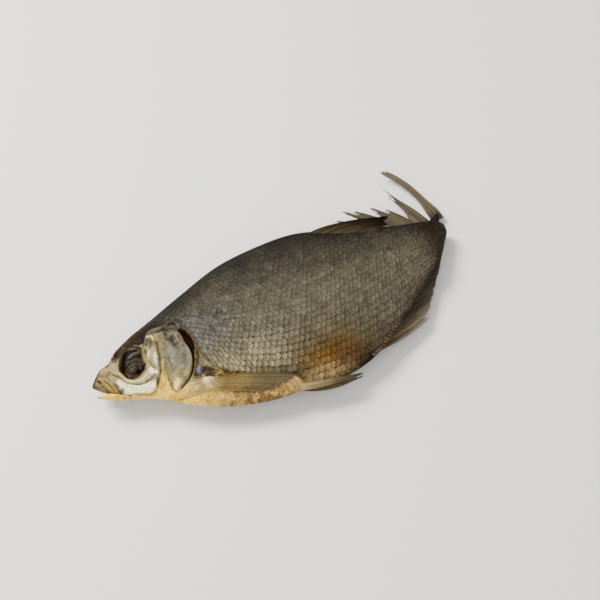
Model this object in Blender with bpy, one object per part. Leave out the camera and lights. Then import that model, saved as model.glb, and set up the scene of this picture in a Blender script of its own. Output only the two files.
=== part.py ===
"""Dried bream, lying on its right side with the end of its tail folded under it.

The fish is drawn in millimetres in its own frame: x runs from the snout to the tail fold,
y towards the back, z towards the left side, which lies uppermost. The last step moves it onto
the ground, with the middle of its footprint over the origin, and turns it into metres.
"""
import math
import bmesh
import bpy
import numpy as np

MILLIMETRE = 0.001

# Outline of the flattened fish, in its middle plane: x and y of the back and of the belly
BACK_EDGE = [(0.5, 4.6), (4, 8.6), (11, 14.8), (18, 16.4), (24, 21.8), (36, 28.4), (62, 37.8),
             (95, 49.6), (128, 60), (162, 63.4), (200, 61), (235, 47), (275, 32), (300, 24),
             (314, 17)]
BELLY_EDGE = [(0.5, 3.6), (5, -1.5), (12, -9), (20, -16.5), (33, -22.5), (44, -28.5), (62, -43),
              (90, -58), (115, -66), (145, -69.5), (186, -72), (205, -67), (240, -47), (272, -26),
              (293, -11)]
AXIS_HEIGHT = [(0.5, 4), (12, 3), (30, 6), (60, 2), (120, 0), (200, -2), (280, 2), (300, 2)]

# Half of the thickness from side to side
HALF_THICKNESS = [(0.5, 2.2), (5, 5), (12, 7.4), (24, 10.2), (40, 12.6), (62, 15.2), (88, 17.6),
                  (115, 19), (150, 18.6), (190, 14.6), (235, 9.6), (275, 6.6), (302, 5.2)]
UNDERSIDE_FLAT = -17.6
BODY_POWER = 2.2
HEAD_POWER = 2.9
HEAD_TO_BODY = (60, 120)
EDGE_POWER = 0.6
THINNEST_SHARE = 0.3

# Tail fold: a crease slanting across the stalk of the tail
FOLD_AT = 295.0
FOLD_LEAN = 0.66
LEAN_START = 250.0
FOLD_RADIUS = 4.0
FOLD_OPENING = 0.12
FOLD_TURN = 170.0
FOLD_GAP = 0.6
FOLD_THINNEST = 0.3
STALK_LENGTH = 29.0
STALK_HEADING = 74.0
STALK_DROP = 5.0
STALK_END_TURN = 22.0
STALK_HALF_DEPTH = 18.0
STALK_HALF_THICKNESS = 3.6
STALK_END_SHARE = 0.7
STALK_END_POWER = 2.4
STALK_START_EXTRA = 1.2

# Head: the eye's socket sinks from EDGE to FLOOR of its reach, inside a raised rim
EYE_CENTRE = (34.2, 4.2)
EYE_SOCKET = (11.0, 12.0)
EYE_DEPTH = 6.0
EYE_FLOOR = 0.45
EYE_EDGE = 1.05
EYE_RIM = (1.15, 0.2)
EYE_RIM_RISE = 0.9
LENS_CENTRE = (34.2, 2.2)
LENS_RADIUS = 4.6
LENS_RISE = 3.2
GILL_SLIT = [(75.4, 13.5), (78, 6.5), (79, -1), (78.2, -8), (76.4, -14.6), (73.6, -20.6),
             (69.4, -26), (64, -30), (57.5, -32.2)]
GILL_SLIT_NARROW = 0.9
GILL_SLIT_WIDENS = 2.0
GILL_SLIT_WIDEST = (0.25, 0.17)
GILL_SLIT_DEPTH = 5.5
GILL_COVER_FRONT = [(58, 22), (57.6, 6), (56.3, -8), (52.5, -30)]
GILL_COVER_RISE = 1.3
GILL_COVER_TOP = (15, 24)
GILL_COVER_FOOT = (-34, -28)

# Lower jaw: share of its length, and its top, its underside and half of its breadth there
JAW_START = 0.1
JAW_LENGTH = 24.5
JAW_TOP = [(0, -4.8), (0.15, -5.2), (0.3, -6.6), (0.5, -9.3), (0.75, -13.6), (1, -16.4)]
JAW_UNDERSIDE = [(0, -7.4), (0.06, -7.9), (0.3, -10.9), (0.55, -14.2), (0.8, -17.0), (1, -18.8)]
JAW_HALF = [(0, 1.2), (0.1, 2.6), (0.5, 4.4), (0.8, 4.6), (1, 3.0)]
JAW_RINGS = 9
JAW_SIDES = 12
JAW_TWIST = 0.13

# Shelf where the flank overhangs the belly, above the breast fin
SHELF = [(81, -34.5), (93, -39.6), (106, -45.2), (128, -54.6), (143, -63)]
SHELF_DROP = 2.6
SHELF_EDGE = (-0.6, 1.8)
SHELF_FADE = (8, 18)

# Fins: lines through the roots, the middles and the tips of their rays. The breast fin's points
# are drawn on the side of the fish, the others' in space. UNDER is how far a fin reaches down
# into the body at its root and at its tip.
FIN_THICKNESS = 1.0
BREAST_ROOTS = [(79, -35.4), (78, -38.5), (78.6, -42)]
BREAST_MIDDLES = [(108.5, -44.9), (107, -49), (102.5, -51.6), (96, -52.2)]
BREAST_TIPS = [(142, -60), (134, -60.4), (122, -60.4), (112, -59.1)]
BREAST_CLEARANCE = 0.7
BREAST_UNDER = (6.0, 2.5)
BELLY_ROOTS = [(140, -64.8), (139, -66.6), (138.4, -68.6)]
BELLY_MIDDLES = [(164, -71.9, 4.6), (162.4, -74, 4.4), (160, -75.9, 3.2)]
BELLY_TIPS = [(189.6, -77.6, 2.0), (187, -77.8, 1.8), (181, -77.8, 1.6)]
BELLY_UNDER = (5.5, 0.0)
ROOT_SINK = 1.2
DORSAL_ROOTS = [(206, 55, 2.6), (216, 50, 2.8), (228, 44, 2.6), (242, 38, 2.4), (256, 33, 2.2)]
DORSAL_MIDDLES = [(233, 53, 4.2), (241, 46.5, 4.2), (247, 42.6, 4.0), (254, 38.2, 3.4),
                  (263, 34.4, 2.6)]
DORSAL_TIPS = [(275, 40, 3.4), (272.5, 39.4, 3.4), (269.5, 38.6, 3.2), (268, 37, 2.8),
               (270, 34.6, 2.2)]
DORSAL_UNDER = (3.5, 0.0)
ANAL_ROOTS = [(207, -64, -0.9), (217, -58.2, -0.9), (228, -51, -0.9), (240, -43.6, -0.9),
              (250, -38, -0.9), (266, -25.8, -0.9), (284, -13.6, -0.9)]
ANAL_MIDDLES = [(234, -59.6, -6), (238, -55, -6), (245, -49, -6), (253, -42, -6),
                (261, -35.6, -6), (274, -24, -6), (288, -13.4, -6)]
ANAL_TIPS = [(262.2, -51.4, -9), (261, -47.8, -9), (265.6, -44.2, -9), (269, -39.4, -9),
             (275, -33.2, -9), (283, -23.6, -9), (292.6, -11.4, -9)]
RAY_STEPS = 7
RAY_RIDGES = (0.5, 0.3)
SHORT_RAYS = 0.06

# Tail fin: place across the stalk's end, turn from the y axis, length, width and bend of each
# bundle of rays. The first one is the longer lobe, which keeps its width to its blunt tip.
TAIL_BUNDLES = [(0.05, 6.2, 59.9, 10.5, 13.3), (0.37, 18.5, 40.6, 8, 2.4),
                (0.41, 14.5, 47.6, 2, 3.4), (0.528, 16, 21.6, 8, 0.6), (0.635, 26, 33.6, 8, 1.6),
                (0.74, 28, 44.6, 8, 3.1), (0.85, 34, 55.6, 8, 5.1), (0.92, 35, 63.6, 7.5, 6.5),
                (0.972, 43, 61.6, 8.5, 6.1), (1.0, 52, 58, 9, 5.5)]
TAIL_RISE = 0.03
TAIL_ROOT_INSIDE = 6.0
TAIL_ROOT_SPREAD = 0.86
TAIL_OVERLAP = 0.06

# How finely the skin is drawn
RING_HALF = 40
FOLD_RINGS = 9
STALK_RINGS = 8
HEAD_STEP = 1.5
BODY_STEP = 5.0
HEAD_END = 92.0
KEPT_FACES = 0.32
SHARP_ANGLE = 40.0

# Surface: dull grey-brown dried skin
SKIN_COLOUR = (0.16, 0.14, 0.11, 1)
SKIN_ROUGHNESS = 0.5


def through(points):
    """Smooth curve through a few (x, value) points."""
    xs, values = np.array(points, float).T
    slopes = np.gradient(values, xs)

    def value_at(x):
        x = np.clip(x, xs[0], xs[-1])
        i = np.clip(np.searchsorted(xs, x) - 1, 0, len(xs) - 2)
        gap = xs[i + 1] - xs[i]
        t = (x - xs[i]) / gap
        start = values[i] * (1 + 2 * t) * (1 - t) ** 2 + slopes[i] * gap * t * (1 - t) ** 2
        return start + values[i + 1] * t * t * (3 - 2 * t) - slopes[i + 1] * gap * t * t * (1 - t)
    return value_at


def smooth_line(points, count=28):
    """Points evenly along a smooth line through a few points of the plane."""
    corners = np.array(points, float)
    along = np.concatenate([[0], np.cumsum(np.linalg.norm(np.diff(corners, axis=0), axis=1))])
    steps = np.linspace(0, along[-1], count)
    return np.stack([through(list(zip(along, axis)))(steps) for axis in corners.T], axis=1)


def distance_to(line, x, y):
    """Distance from a line, more than zero to the left of its run, and the share run along it."""
    place = np.stack([x, y], axis=-1)[..., None, :]
    start, step = line[:-1], np.diff(line, axis=0)
    share = np.clip(((place - start) * step).sum(-1) / (step ** 2).sum(-1), 0, 1)
    offset = place - (start + share[..., None] * step)
    length = np.linalg.norm(offset, axis=-1)
    nearest = length.argmin(-1)[..., None]
    side = np.sign(step[:, 0] * offset[..., 1] - step[:, 1] * offset[..., 0])
    run = (nearest[..., 0] + np.take_along_axis(share, nearest, -1)[..., 0]) / len(step)
    return np.take_along_axis(length * side, nearest, -1)[..., 0], run


def ramp(value, low, high):
    """Smooth step from 0 at low to 1 at high."""
    t = np.clip((value - low) / (high - low), 0, 1)
    return t * t * (3 - 2 * t)


back_edge = through(BACK_EDGE)
belly_edge = through(BELLY_EDGE)
axis_height = through(AXIS_HEIGHT)
half_thickness = through(HALF_THICKNESS)
gill_slit = smooth_line(GILL_SLIT)
gill_cover_front = smooth_line(GILL_COVER_FRONT)
shelf = smooth_line(SHELF)


def relief(x, y):
    """Rise of either side of the fish over its plain lens-shaped section."""
    dx = (x - EYE_CENTRE[0]) / EYE_SOCKET[0]
    dy = (y - EYE_CENTRE[1]) / EYE_SOCKET[1]
    reach = np.hypot(dx, dy)
    rise = -EYE_DEPTH * (1 - ramp(reach, EYE_FLOOR, EYE_EDGE))
    rise += EYE_RIM_RISE * np.exp(-((reach - EYE_RIM[0]) / EYE_RIM[1]) ** 2)
    lens = np.hypot(x - LENS_CENTRE[0], y - LENS_CENTRE[1]) / LENS_RADIUS
    rise += LENS_RISE * np.sqrt(np.clip(1 - lens ** 2, 0, 1))
    slit, run = distance_to(gill_slit, x, y)
    widest, spread = GILL_SLIT_WIDEST
    opening = GILL_SLIT_NARROW + GILL_SLIT_WIDENS * np.exp(-((run - widest) / spread) ** 2)
    ends = ramp(run, 0, 0.06) * (1 - ramp(run, 0.94, 1))
    rise -= GILL_SLIT_DEPTH * ends * np.exp(-(np.abs(slit) / opening) ** 4)
    front, _ = distance_to(gill_cover_front, x, y)
    cover = ramp(front, -1, 3) * (1 - ramp(slit, -0.5, 1.5)) * ramp(y, *GILL_COVER_FOOT)
    rise += GILL_COVER_RISE * cover * (1 - ramp(y, *GILL_COVER_TOP))
    below, run = distance_to(shelf, x, y)
    strip = ramp(run, 0, 0.12) * (1 - ramp(run, 0.8, 1))
    rise -= SHELF_DROP * strip * ramp(-below, *SHELF_EDGE) * (1 - ramp(-below, *SHELF_FADE))
    return rise


def section(x, height, top, bottom):
    """Half thickness at a height of the section, with a rounder head and belly strip."""
    middle = axis_height(x)
    share = np.where(height > middle, (height - middle) / (top - middle),
                     (middle - height) / (middle - bottom))
    share = np.clip(share, 0, 1)
    power = HEAD_POWER + (BODY_POWER - HEAD_POWER) * ramp(x, *HEAD_TO_BODY)
    return half_thickness(x) * (1 - share ** power) ** EDGE_POWER


def side_height(x, y):
    """Height of the left side over the middle plane, ahead of the tail fold."""
    return section(x, y, back_edge(x), belly_edge(x)) + relief(x, y)


def leaning_edge(edge, x, lean):
    """Where a line through the axis at x, leaning back by lean, meets an edge of the outline."""
    height = edge(x)
    for _ in range(12):
        height = edge(x + lean * (height - axis_height(x)))
    return height


def ring(middles, side, outer, inner):
    """One closed cross-section: down the left side and back up the right."""
    left = list(middles + side * outer[:, None])
    right = list(middles - side * inner[:, None])
    return left + right[-2:0:-1]


def flat_direction(degrees, fall=0.0):
    """Unit vector at an angle from the x axis towards the back, falling by a share of its run."""
    angle = math.radians(degrees)
    step = np.array([math.cos(angle), math.sin(angle), -fall])
    return step / np.linalg.norm(step)


def fold_path(heights):
    """Crease of the tail fold and, at each step round it, the side and the middles of a ring."""
    crease = np.array([FOLD_LEAN, 1.0, 0.0]) / math.hypot(FOLD_LEAN, 1)
    outward = np.array([crease[1], -crease[0], 0.0])
    left = np.array([0.0, 0.0, 1.0])
    centre = np.array([FOLD_AT, axis_height(FOLD_AT), 0.0])
    radii = (FOLD_RADIUS + FOLD_OPENING * heights)[:, None]
    sides = [math.sin(a) * outward + math.cos(a) * left
             for a in np.radians(np.linspace(0, FOLD_TURN, FOLD_RINGS))]
    middles = [centre + crease * heights[:, None] + radii * (side - left) for side in sides]
    return crease, sides, middles


def body_rings(spread):
    """Cross-sections from the snout to the tail fold, and the last one's heights and halves."""
    head = np.arange(0.5, HEAD_END, HEAD_STEP)
    body = np.arange(HEAD_END, LEAN_START, BODY_STEP)
    leaning = np.linspace(LEAN_START, FOLD_AT, 11)
    left = np.array([0.0, 0.0, 1.0])
    rings = []
    for x in np.concatenate([head, body, leaning]):
        bend = ramp(x, LEAN_START, FOLD_AT)
        top = leaning_edge(back_edge, x, FOLD_LEAN * bend)
        bottom = leaning_edge(belly_edge, x, FOLD_LEAN * bend)
        heights = (top + bottom) / 2 + spread * (top - bottom) / 2
        across = x + FOLD_LEAN * bend * (heights - axis_height(x))
        plain = section(x, heights, top, bottom)
        outer = np.maximum(plain + relief(across, heights), THINNEST_SHARE * plain)
        outer = np.minimum(outer, outer + (STALK_HALF_THICKNESS - outer) * bend)
        room = FOLD_RADIUS + FOLD_OPENING * (heights - axis_height(FOLD_AT)) - FOLD_GAP
        inner = np.minimum(outer, outer + (np.maximum(room, FOLD_THINNEST) - outer) * bend)
        middles = np.stack([across, heights, 0 * heights], axis=1)
        rings.append(ring(middles, left, outer, inner))
    return rings, heights, outer, inner


def skin_rings():
    """Cross-sections from the snout to the tail's end, round the fold."""
    spread = np.cos(np.linspace(0, math.pi, RING_HALF + 1))
    rings, heights, outer, inner = body_rings(spread)
    heights = (heights - axis_height(FOLD_AT)) * math.hypot(FOLD_LEAN, 1)
    crease, sides, folded = fold_path(heights)
    for side, middles in zip(sides[1:], folded[1:]):
        rings.append(ring(middles, side, outer, inner))
    side = sides[-1]
    end = stalk_end() + flat_direction(STALK_END_TURN) * (spread * STALK_HALF_DEPTH)[:, None]
    rounded = (1 - np.abs(spread) ** STALK_END_POWER) ** EDGE_POWER
    flank = STALK_HALF_THICKNESS * STALK_END_SHARE * rounded
    for share in np.linspace(0, 1, STALK_RINGS)[1:]:
        middles = folded[-1] * (1 - share) + end * share
        thick = np.minimum(outer, flank + STALK_START_EXTRA * (1 - share))
        rings.append(ring(middles, side, thick, np.minimum(inner, thick)))
    return rings


def stalk_end():
    """Middle of the end of the tail's stalk, where the tail fin begins."""
    start = fold_path(np.zeros(1))[2][-1][0]
    return start + flat_direction(STALK_HEADING, STALK_DROP / STALK_LENGTH) * STALK_LENGTH


def mesh_object(name, points, faces):
    """Object made of one mesh, in the fish's own millimetres."""
    mesh = bpy.data.meshes.new(name)
    mesh.from_pydata([tuple(p) for p in points], [], faces)
    obj = bpy.data.objects.new(name, mesh)
    bpy.context.scene.collection.objects.link(obj)
    return obj


def make_skin():
    """Head and body as one closed skin."""
    rings = skin_rings()
    size = len(rings[0])
    points = [p for loop in rings for p in loop]
    faces = []
    for i in range(len(rings) - 1):
        for j in range(size):
            a, b = i * size + j, i * size + (j + 1) % size
            faces.append((a, b, b + size, a + size))
    for start in (0, (len(rings) - 1) * size):
        for j in range(RING_HALF):
            left = (start + j, start + j + 1)
            right = (start + (size - j - 1) % size, start + (size - j) % size)
            faces.append(tuple(dict.fromkeys(left + right)))
    return mesh_object("skin", points, faces)


def grid_solid(name, above, below):
    """Closed plate between two grids of points, rows of rays by steps along them."""
    rows, steps = above.shape[:2]
    points = np.concatenate([above.reshape(-1, 3), below.reshape(-1, 3)])
    lower = rows * steps
    faces = []
    for i in range(rows - 1):
        for j in range(steps - 1):
            a = i * steps + j
            faces.append((a, a + 1, a + steps + 1, a + steps))
            faces.append((lower + a, lower + a + steps, lower + a + steps + 1, lower + a + 1))
    rim = [(0, j) for j in range(steps - 1)]
    rim += [(i, steps - 1) for i in range(rows - 1)]
    rim += [(rows - 1, j) for j in range(steps - 1, 0, -1)]
    rim += [(i, 0) for i in range(rows - 1, 0, -1)]
    rim = [i * steps + j for i, j in rim]
    for a, b in zip(rim, rim[1:] + rim[:1]):
        faces.append((a, lower + a, lower + b, b))
    return mesh_object(name, points, faces)


def fin(name, paths, thickness=FIN_THICKNESS, under=(0.0, 0.0)):
    """Fin made of ray paths, ridged along every other one, its root reaching down into the body."""
    share = np.linspace(0, 1, paths.shape[1])
    ridge = np.where(np.arange(len(paths)) % 2 == 0, *RAY_RIDGES)
    lift = np.zeros(paths.shape)
    lift[..., 2] = ridge[:, None] * thickness * (1 - 0.3 * share)
    drop = lift.copy()
    drop[..., 2] += under[0] + (under[1] - under[0]) * share ** 3
    return grid_solid(name, paths + lift, paths - drop)


def fan(roots, middles, tips, rays):
    """Ray paths bent through three lines of points, every other path ending short."""
    root, middle, tip = [smooth_line(line, rays)[:, None, :] for line in (roots, middles, tips)]
    short = np.where(np.arange(rays) % 2 == 0, 1.0, 1.0 - SHORT_RAYS)[:, None, None]
    share = np.linspace(0, 1, RAY_STEPS)[None, :, None] * short
    return (root * (1 - share) * (1 - 2 * share) + middle * 4 * share * (1 - share)
            + tip * share * (2 * share - 1))


def blunt_taper(share):
    """Width of the longer lobe of the tail along its run."""
    return 0.62 + 0.45 * (1 - ramp(share, 0.06, 0.42)) - 0.35 * ramp(share, 0.88, 1.04)


def pointed_taper(share):
    """Width of a bundle that widens past its root and tapers to a point."""
    return 0.75 + 1.1 * share - 1.65 * share ** 2


def leaf(root, turn, length, width, bend, lobe):
    """Ray paths of one bundle of the tail fin, bent to one side towards its tip."""
    angle = math.radians(turn)
    along = np.array([-math.sin(angle), math.cos(angle), TAIL_RISE])
    across = np.array([math.cos(angle), math.sin(angle), 0.0])
    share = np.linspace(0, 1, RAY_STEPS)[None, :, None]
    taper, power = (blunt_taper, 3) if lobe else (pointed_taper, 2)
    sides = np.linspace(-0.5, 0.5, 5 if width > 3 else 3)[:, None, None]
    offset = sides * width * taper(share) - bend * share ** power
    return root + along * length * share + across * offset


def on_side(line, clearance):
    """Lift a line of the plane onto the left side."""
    points = np.array(line, float)
    return np.column_stack([points, side_height(points[:, 0], points[:, 1]) + clearance])


def make_jaw():
    """Lower jaw, a narrow wedge under the mouth."""
    share = (1 - np.cos(np.linspace(0.04, 0.96, JAW_RINGS) * math.pi)) / 2
    top, underside, half = (through(line)(share) for line in (JAW_TOP, JAW_UNDERSIDE, JAW_HALF))
    swell = np.sin(share * math.pi) ** 0.4
    middle, depth, half = (top + underside) / 2, (top - underside) / 2 * swell, half * swell
    turn = np.linspace(0, 2 * math.pi, JAW_SIDES, endpoint=False) + JAW_TWIST
    points = [(JAW_START + JAW_LENGTH * share[i], middle[i] + depth[i] * math.cos(a),
               half[i] * math.sin(a)) for i in range(JAW_RINGS) for a in turn]
    faces = [(i * JAW_SIDES + j, i * JAW_SIDES + (j + 1) % JAW_SIDES,
              (i + 1) * JAW_SIDES + (j + 1) % JAW_SIDES, (i + 1) * JAW_SIDES + j)
             for i in range(JAW_RINGS - 1) for j in range(JAW_SIDES)]
    last = len(points) - 1
    faces += [tuple(range(JAW_SIDES)), tuple(range(last, last - JAW_SIDES, -1))]
    return mesh_object("jaw", points, faces)


def make_tail_fin():
    """Forked tail fin under the body, split by drying into bundles of rays."""
    across = flat_direction(STALK_END_TURN) * STALK_HALF_DEPTH * TAIL_ROOT_SPREAD
    inside = flat_direction(STALK_HEADING) * TAIL_ROOT_INSIDE
    bundles = []
    for number, (place, turn, length, width, bend) in enumerate(TAIL_BUNDLES):
        root = stalk_end() - inside + across * (1 - 2 * place)
        paths = leaf(root, turn, length + TAIL_ROOT_INSIDE, width, bend, number == 0)
        bundles.append(fin(f"tail_{number}", paths, FIN_THICKNESS + TAIL_OVERLAP * number))
    return bundles


def make_paired_fins():
    """Breast and belly fins of both sides, folded back against the fish."""
    breast = fin("breast", fan(on_side(BREAST_ROOTS, -ROOT_SINK),
                               on_side(BREAST_MIDDLES, BREAST_CLEARANCE),
                               on_side(BREAST_TIPS, BREAST_CLEARANCE), 9), under=BREAST_UNDER)
    belly = fin("belly", fan(on_side(BELLY_ROOTS, -ROOT_SINK), BELLY_MIDDLES, BELLY_TIPS, 5),
                under=BELLY_UNDER)
    fins = [breast, belly]
    for shown in (breast, belly):
        other = shown.copy()
        other.data = shown.data.copy()
        bpy.context.scene.collection.objects.link(other)
        for vertex in other.data.vertices:
            vertex.co.z = -vertex.co.z
        fins.append(other)
    return fins


def apply_modifiers(obj):
    """Replace the object's mesh by what its modifiers make of it."""
    shape = obj.evaluated_get(bpy.context.evaluated_depsgraph_get())
    mesh = bpy.data.meshes.new_from_object(shape)
    obj.modifiers.clear()
    obj.data = mesh


def face_outwards(obj):
    """Turn all faces of a closed mesh to the outside."""
    mesh = bmesh.new()
    mesh.from_mesh(obj.data)
    bmesh.ops.recalc_face_normals(mesh, faces=mesh.faces[:])
    mesh.to_mesh(obj.data)
    mesh.free()


def join(body, pieces):
    """Fuse the pieces with the body into one solid."""
    for piece in [body] + pieces:
        face_outwards(piece)
    group = bpy.data.collections.new("pieces")
    for piece in pieces:
        bpy.context.scene.collection.objects.unlink(piece)
        group.objects.link(piece)
    bpy.context.scene.collection.children.link(group)
    union = body.modifiers.new("fuse", "BOOLEAN")
    union.operation = "UNION"
    union.operand_type = "COLLECTION"
    union.collection = group
    union.solver = "EXACT"
    apply_modifiers(body)
    for piece in pieces:
        bpy.data.objects.remove(piece)
    bpy.data.collections.remove(group)


def press_flat(obj, level=UNDERSIDE_FLAT):
    """Flatten what the fish's weight presses against the ground."""
    for vertex in obj.data.vertices:
        vertex.co.z = max(vertex.co.z, level)


def thin_out(obj):
    """Keep the faces that the shape needs, fewest where it is smooth."""
    fewer = obj.modifiers.new("fewer faces", "DECIMATE")
    fewer.ratio = KEPT_FACES
    apply_modifiers(obj)


def settle(obj):
    """Scale to metres and put the middle of the underside over the origin."""
    points = np.array([v.co for v in obj.data.vertices])
    low, high = points.min(axis=0), points.max(axis=0)
    shift = np.array([(low[0] + high[0]) / 2, (low[1] + high[1]) / 2, low[2]])
    for vertex, place in zip(obj.data.vertices, (points - shift) * MILLIMETRE):
        vertex.co = place


def skin_material():
    """Dull grey-brown dried skin."""
    material = bpy.data.materials.new("dried_skin")
    material.use_nodes = True
    shader = material.node_tree.nodes["Principled BSDF"]
    shader.inputs["Base Color"].default_value = SKIN_COLOUR
    shader.inputs["Roughness"].default_value = SKIN_ROUGHNESS
    shader.inputs["Metallic"].default_value = 0
    return material


for old in list(bpy.data.objects):
    bpy.data.objects.remove(old)
fish = make_skin()
fish.name = "dried_bream"
press_flat(fish)
dorsal = fin("dorsal", fan(DORSAL_ROOTS, DORSAL_MIDDLES, DORSAL_TIPS, 9), under=DORSAL_UNDER)
anal = fin("anal", fan(ANAL_ROOTS, ANAL_MIDDLES, ANAL_TIPS, 13))
fins = [dorsal, anal] + make_paired_fins() + make_tail_fin()
for thin in fins:
    press_flat(thin, UNDERSIDE_FLAT + FIN_THICKNESS)
thin_out(fish)
join(fish, [make_jaw()] + fins)
settle(fish)
fish.data.materials.append(skin_material())
fish.data.shade_smooth()
fish.data.set_sharp_from_angle(angle=math.radians(SHARP_ANGLE))
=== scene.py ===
import math
import bmesh
import bpy
import numpy as np
from mathutils import Matrix, Vector


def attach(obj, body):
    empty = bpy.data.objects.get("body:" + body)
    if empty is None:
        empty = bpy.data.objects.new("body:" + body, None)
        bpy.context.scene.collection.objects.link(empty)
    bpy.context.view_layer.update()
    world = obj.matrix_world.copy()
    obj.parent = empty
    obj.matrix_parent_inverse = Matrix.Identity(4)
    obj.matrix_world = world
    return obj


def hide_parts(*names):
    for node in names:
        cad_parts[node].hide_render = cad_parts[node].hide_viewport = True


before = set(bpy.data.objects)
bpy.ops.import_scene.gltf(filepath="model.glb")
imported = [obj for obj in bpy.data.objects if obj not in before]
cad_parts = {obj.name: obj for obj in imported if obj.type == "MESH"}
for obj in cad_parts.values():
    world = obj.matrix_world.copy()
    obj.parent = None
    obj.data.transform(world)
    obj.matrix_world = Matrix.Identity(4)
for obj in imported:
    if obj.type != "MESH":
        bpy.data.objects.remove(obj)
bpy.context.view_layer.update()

# The fish is drawn lying on its right side, in millimetres: x from the snout to the tail fold,
# y towards the back, z towards the left side, which is uppermost. toWorld puts it on the ground.
fishOrigin = np.array([159.454, 6.904, -17.6])
metresPerMillimetre = 0.001


def toWorld(points):
    return (np.asarray(points) - fishOrigin) * metresPerMillimetre


def ramp(value, low, high):  # smooth step from 0 at low to 1 at high
    t = np.clip((value - low) / (high - low), 0, 1)
    return t * t * (3 - 2 * t)


def through(points):  # smooth curve through a few (x, value) points
    xs, values = np.array(points, float).T
    slopes = np.gradient(values, xs)

    def valueAt(x):
        x = np.clip(x, xs[0], xs[-1])
        i = np.clip(np.searchsorted(xs, x) - 1, 0, len(xs) - 2)
        gap = xs[i + 1] - xs[i]
        t = (x - xs[i]) / gap
        start = values[i] * (1 + 2 * t) * (1 - t) ** 2 + slopes[i] * gap * t * (1 - t) ** 2
        return start + values[i + 1] * t * t * (3 - 2 * t) - slopes[i + 1] * gap * t * t * (1 - t)
    return valueAt


def smoothLine(points, count=16):  # points evenly along a smooth line through a few points
    corners = np.array(points, float)
    if len(corners) == 1:
        return np.repeat(corners, 2, axis=0) + [[0, 0], [0.01, 0]]
    along = np.concatenate([[0], np.cumsum(np.linalg.norm(np.diff(corners, axis=0), axis=1))])
    steps = np.linspace(0, along[-1], count)
    return np.stack([through(list(zip(along, axis)))(steps) for axis in corners.T], axis=1)


def distanceTo(line, x, y):  # distance, over zero to the left, and share run along it
    place = np.stack([x, y], axis=-1)[..., None, :]
    start, step = line[:-1], np.diff(line, axis=0)
    share = np.clip(((place - start) * step).sum(-1) / (step ** 2).sum(-1), 0, 1)
    offset = place - (start + share[..., None] * step)
    length = np.linalg.norm(offset, axis=-1)
    nearest = length.argmin(-1)[..., None]
    side = np.sign(step[:, 0] * offset[..., 1] - step[:, 1] * offset[..., 0])
    run = (nearest[..., 0] + np.take_along_axis(share, nearest, -1)[..., 0]) / len(step)
    return np.take_along_axis(length * side, nearest, -1)[..., 0], run


def mottle(x, y, size, seed):  # smooth random field from -1 to 1, with blots of a given size
    lattice = np.random.default_rng(seed).uniform(-1, 1, (64, 64))
    u, v = x / size, y / size
    i, j = np.floor(u).astype(int), np.floor(v).astype(int)
    s, t = u - i, v - j
    s, t = s * s * (3 - 2 * s), t * t * (3 - 2 * t)
    i, j, i2, j2 = i % 64, j % 64, (i + 1) % 64, (j + 1) % 64
    near = lattice[i, j] * (1 - s) + lattice[i2, j] * s
    return near * (1 - t) + (lattice[i, j2] * (1 - s) + lattice[i2, j2] * s) * t


def crumple(x, y, size, seed):  # three layers of mottle, each half as large as the last
    return sum(mottle(x, y, size / 2 ** k, seed + k) / 2 ** k for k in range(3)) / 1.75


def cover(paint, colour, amount):  # lay a colour over the paint
    amount = np.clip(amount, 0, 1)[..., None]
    return paint * (1 - amount) + colour * amount


# outline and sections, as on the solid
form = {
    "back": [(0.5, 4.6), (4, 8.6), (11, 14.8), (18, 16.4), (24, 21.8), (36, 28.4), (62, 37.8),
             (95, 49.6), (128, 60), (162, 63.4), (200, 61), (235, 47), (275, 32), (300, 24),
             (314, 17)],
    "belly": [(0.5, 3.6), (5, -1.5), (12, -9), (20, -16.5), (33, -22.5), (44, -28.5), (62, -43),
              (90, -58), (115, -66), (145, -69.5), (186, -72), (205, -67), (240, -47), (272, -26),
              (293, -11)],
    "axis": [(0.5, 4), (12, 3), (30, 6), (60, 2), (120, 0), (200, -2), (280, 2), (300, 2)],
    "half": [(0.5, 2.2), (5, 5), (12, 7.4), (24, 10.2), (40, 12.6), (62, 15.2), (88, 17.6),
             (115, 19), (150, 18.6), (190, 14.6), (235, 9.6), (275, 6.6), (302, 5.2)],
    "underside": -17.6, "summit": 19.15, "foldReach": 319.3, "highest": 92.2,
    "clearance": 0.6,
    "foldAt": 295.0, "foldLean": 0.66, "leanStart": 250.0, "foldRadius": 4.0,
    "foldOpening": 0.12, "foldTurn": 170.0, "foldLength": 22.0,
    "stalkLength": 29.0, "stalkHeading": 74.0, "stalkDrop": 5.0, "stalkEndTurn": 22.0,
    "stalkHalfDepth": 18.0, "stalkHalf": 3.6, "scaleDepth": 0.85,
    "eye": (34.2, 4.2), "socket": (11.0, 12.0),
    "slit": [(75.4, 13.5), (78, 6.5), (79, -1), (78.2, -8), (76.4, -14.6), (73.6, -20.6),
             (69.4, -26), (64, -30), (57.5, -32.2)],
    "plate": [(58, 20), (72, 18), (77, 5), (77, -10), (66, -26), (56, -31), (54, -10)],
    "cheek": [(18, -4), (44, -6), (46, 12), (53, 8), (52, -14), (40, -24), (20, -15)],
    "gillCover": [(58, 22), (57.6, 6), (56.3, -8), (52.5, -30)],
    "shelf": [(81, -34.5), (93, -39.6), (106, -45.2), (128, -54.6), (143, -63)],
    "scalesBegin": [(55, 44), (62, 34), (70, 27), (75.6, 22.7), (79.3, 15.1), (81.9, 7.1),
                    (82.8, -2.7), (82.5, -11), (83, -19.5), (85.5, -26.5), (89, -31.5),
                    (96, -36.4),
                    (106, -41.8), (128, -52.8), (140, -60.2), (146, -74)],
    "lateral": [(80, 20), (88, 12), (105, -0.6), (125, -9), (148, -15), (184, -17), (230, -10),
                (270, -1), (300, 3)],
}
backEdge, bellyEdge = through(form["back"]), through(form["belly"])
axisHeight, halfThickness = through(form["axis"]), through(form["half"])
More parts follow.
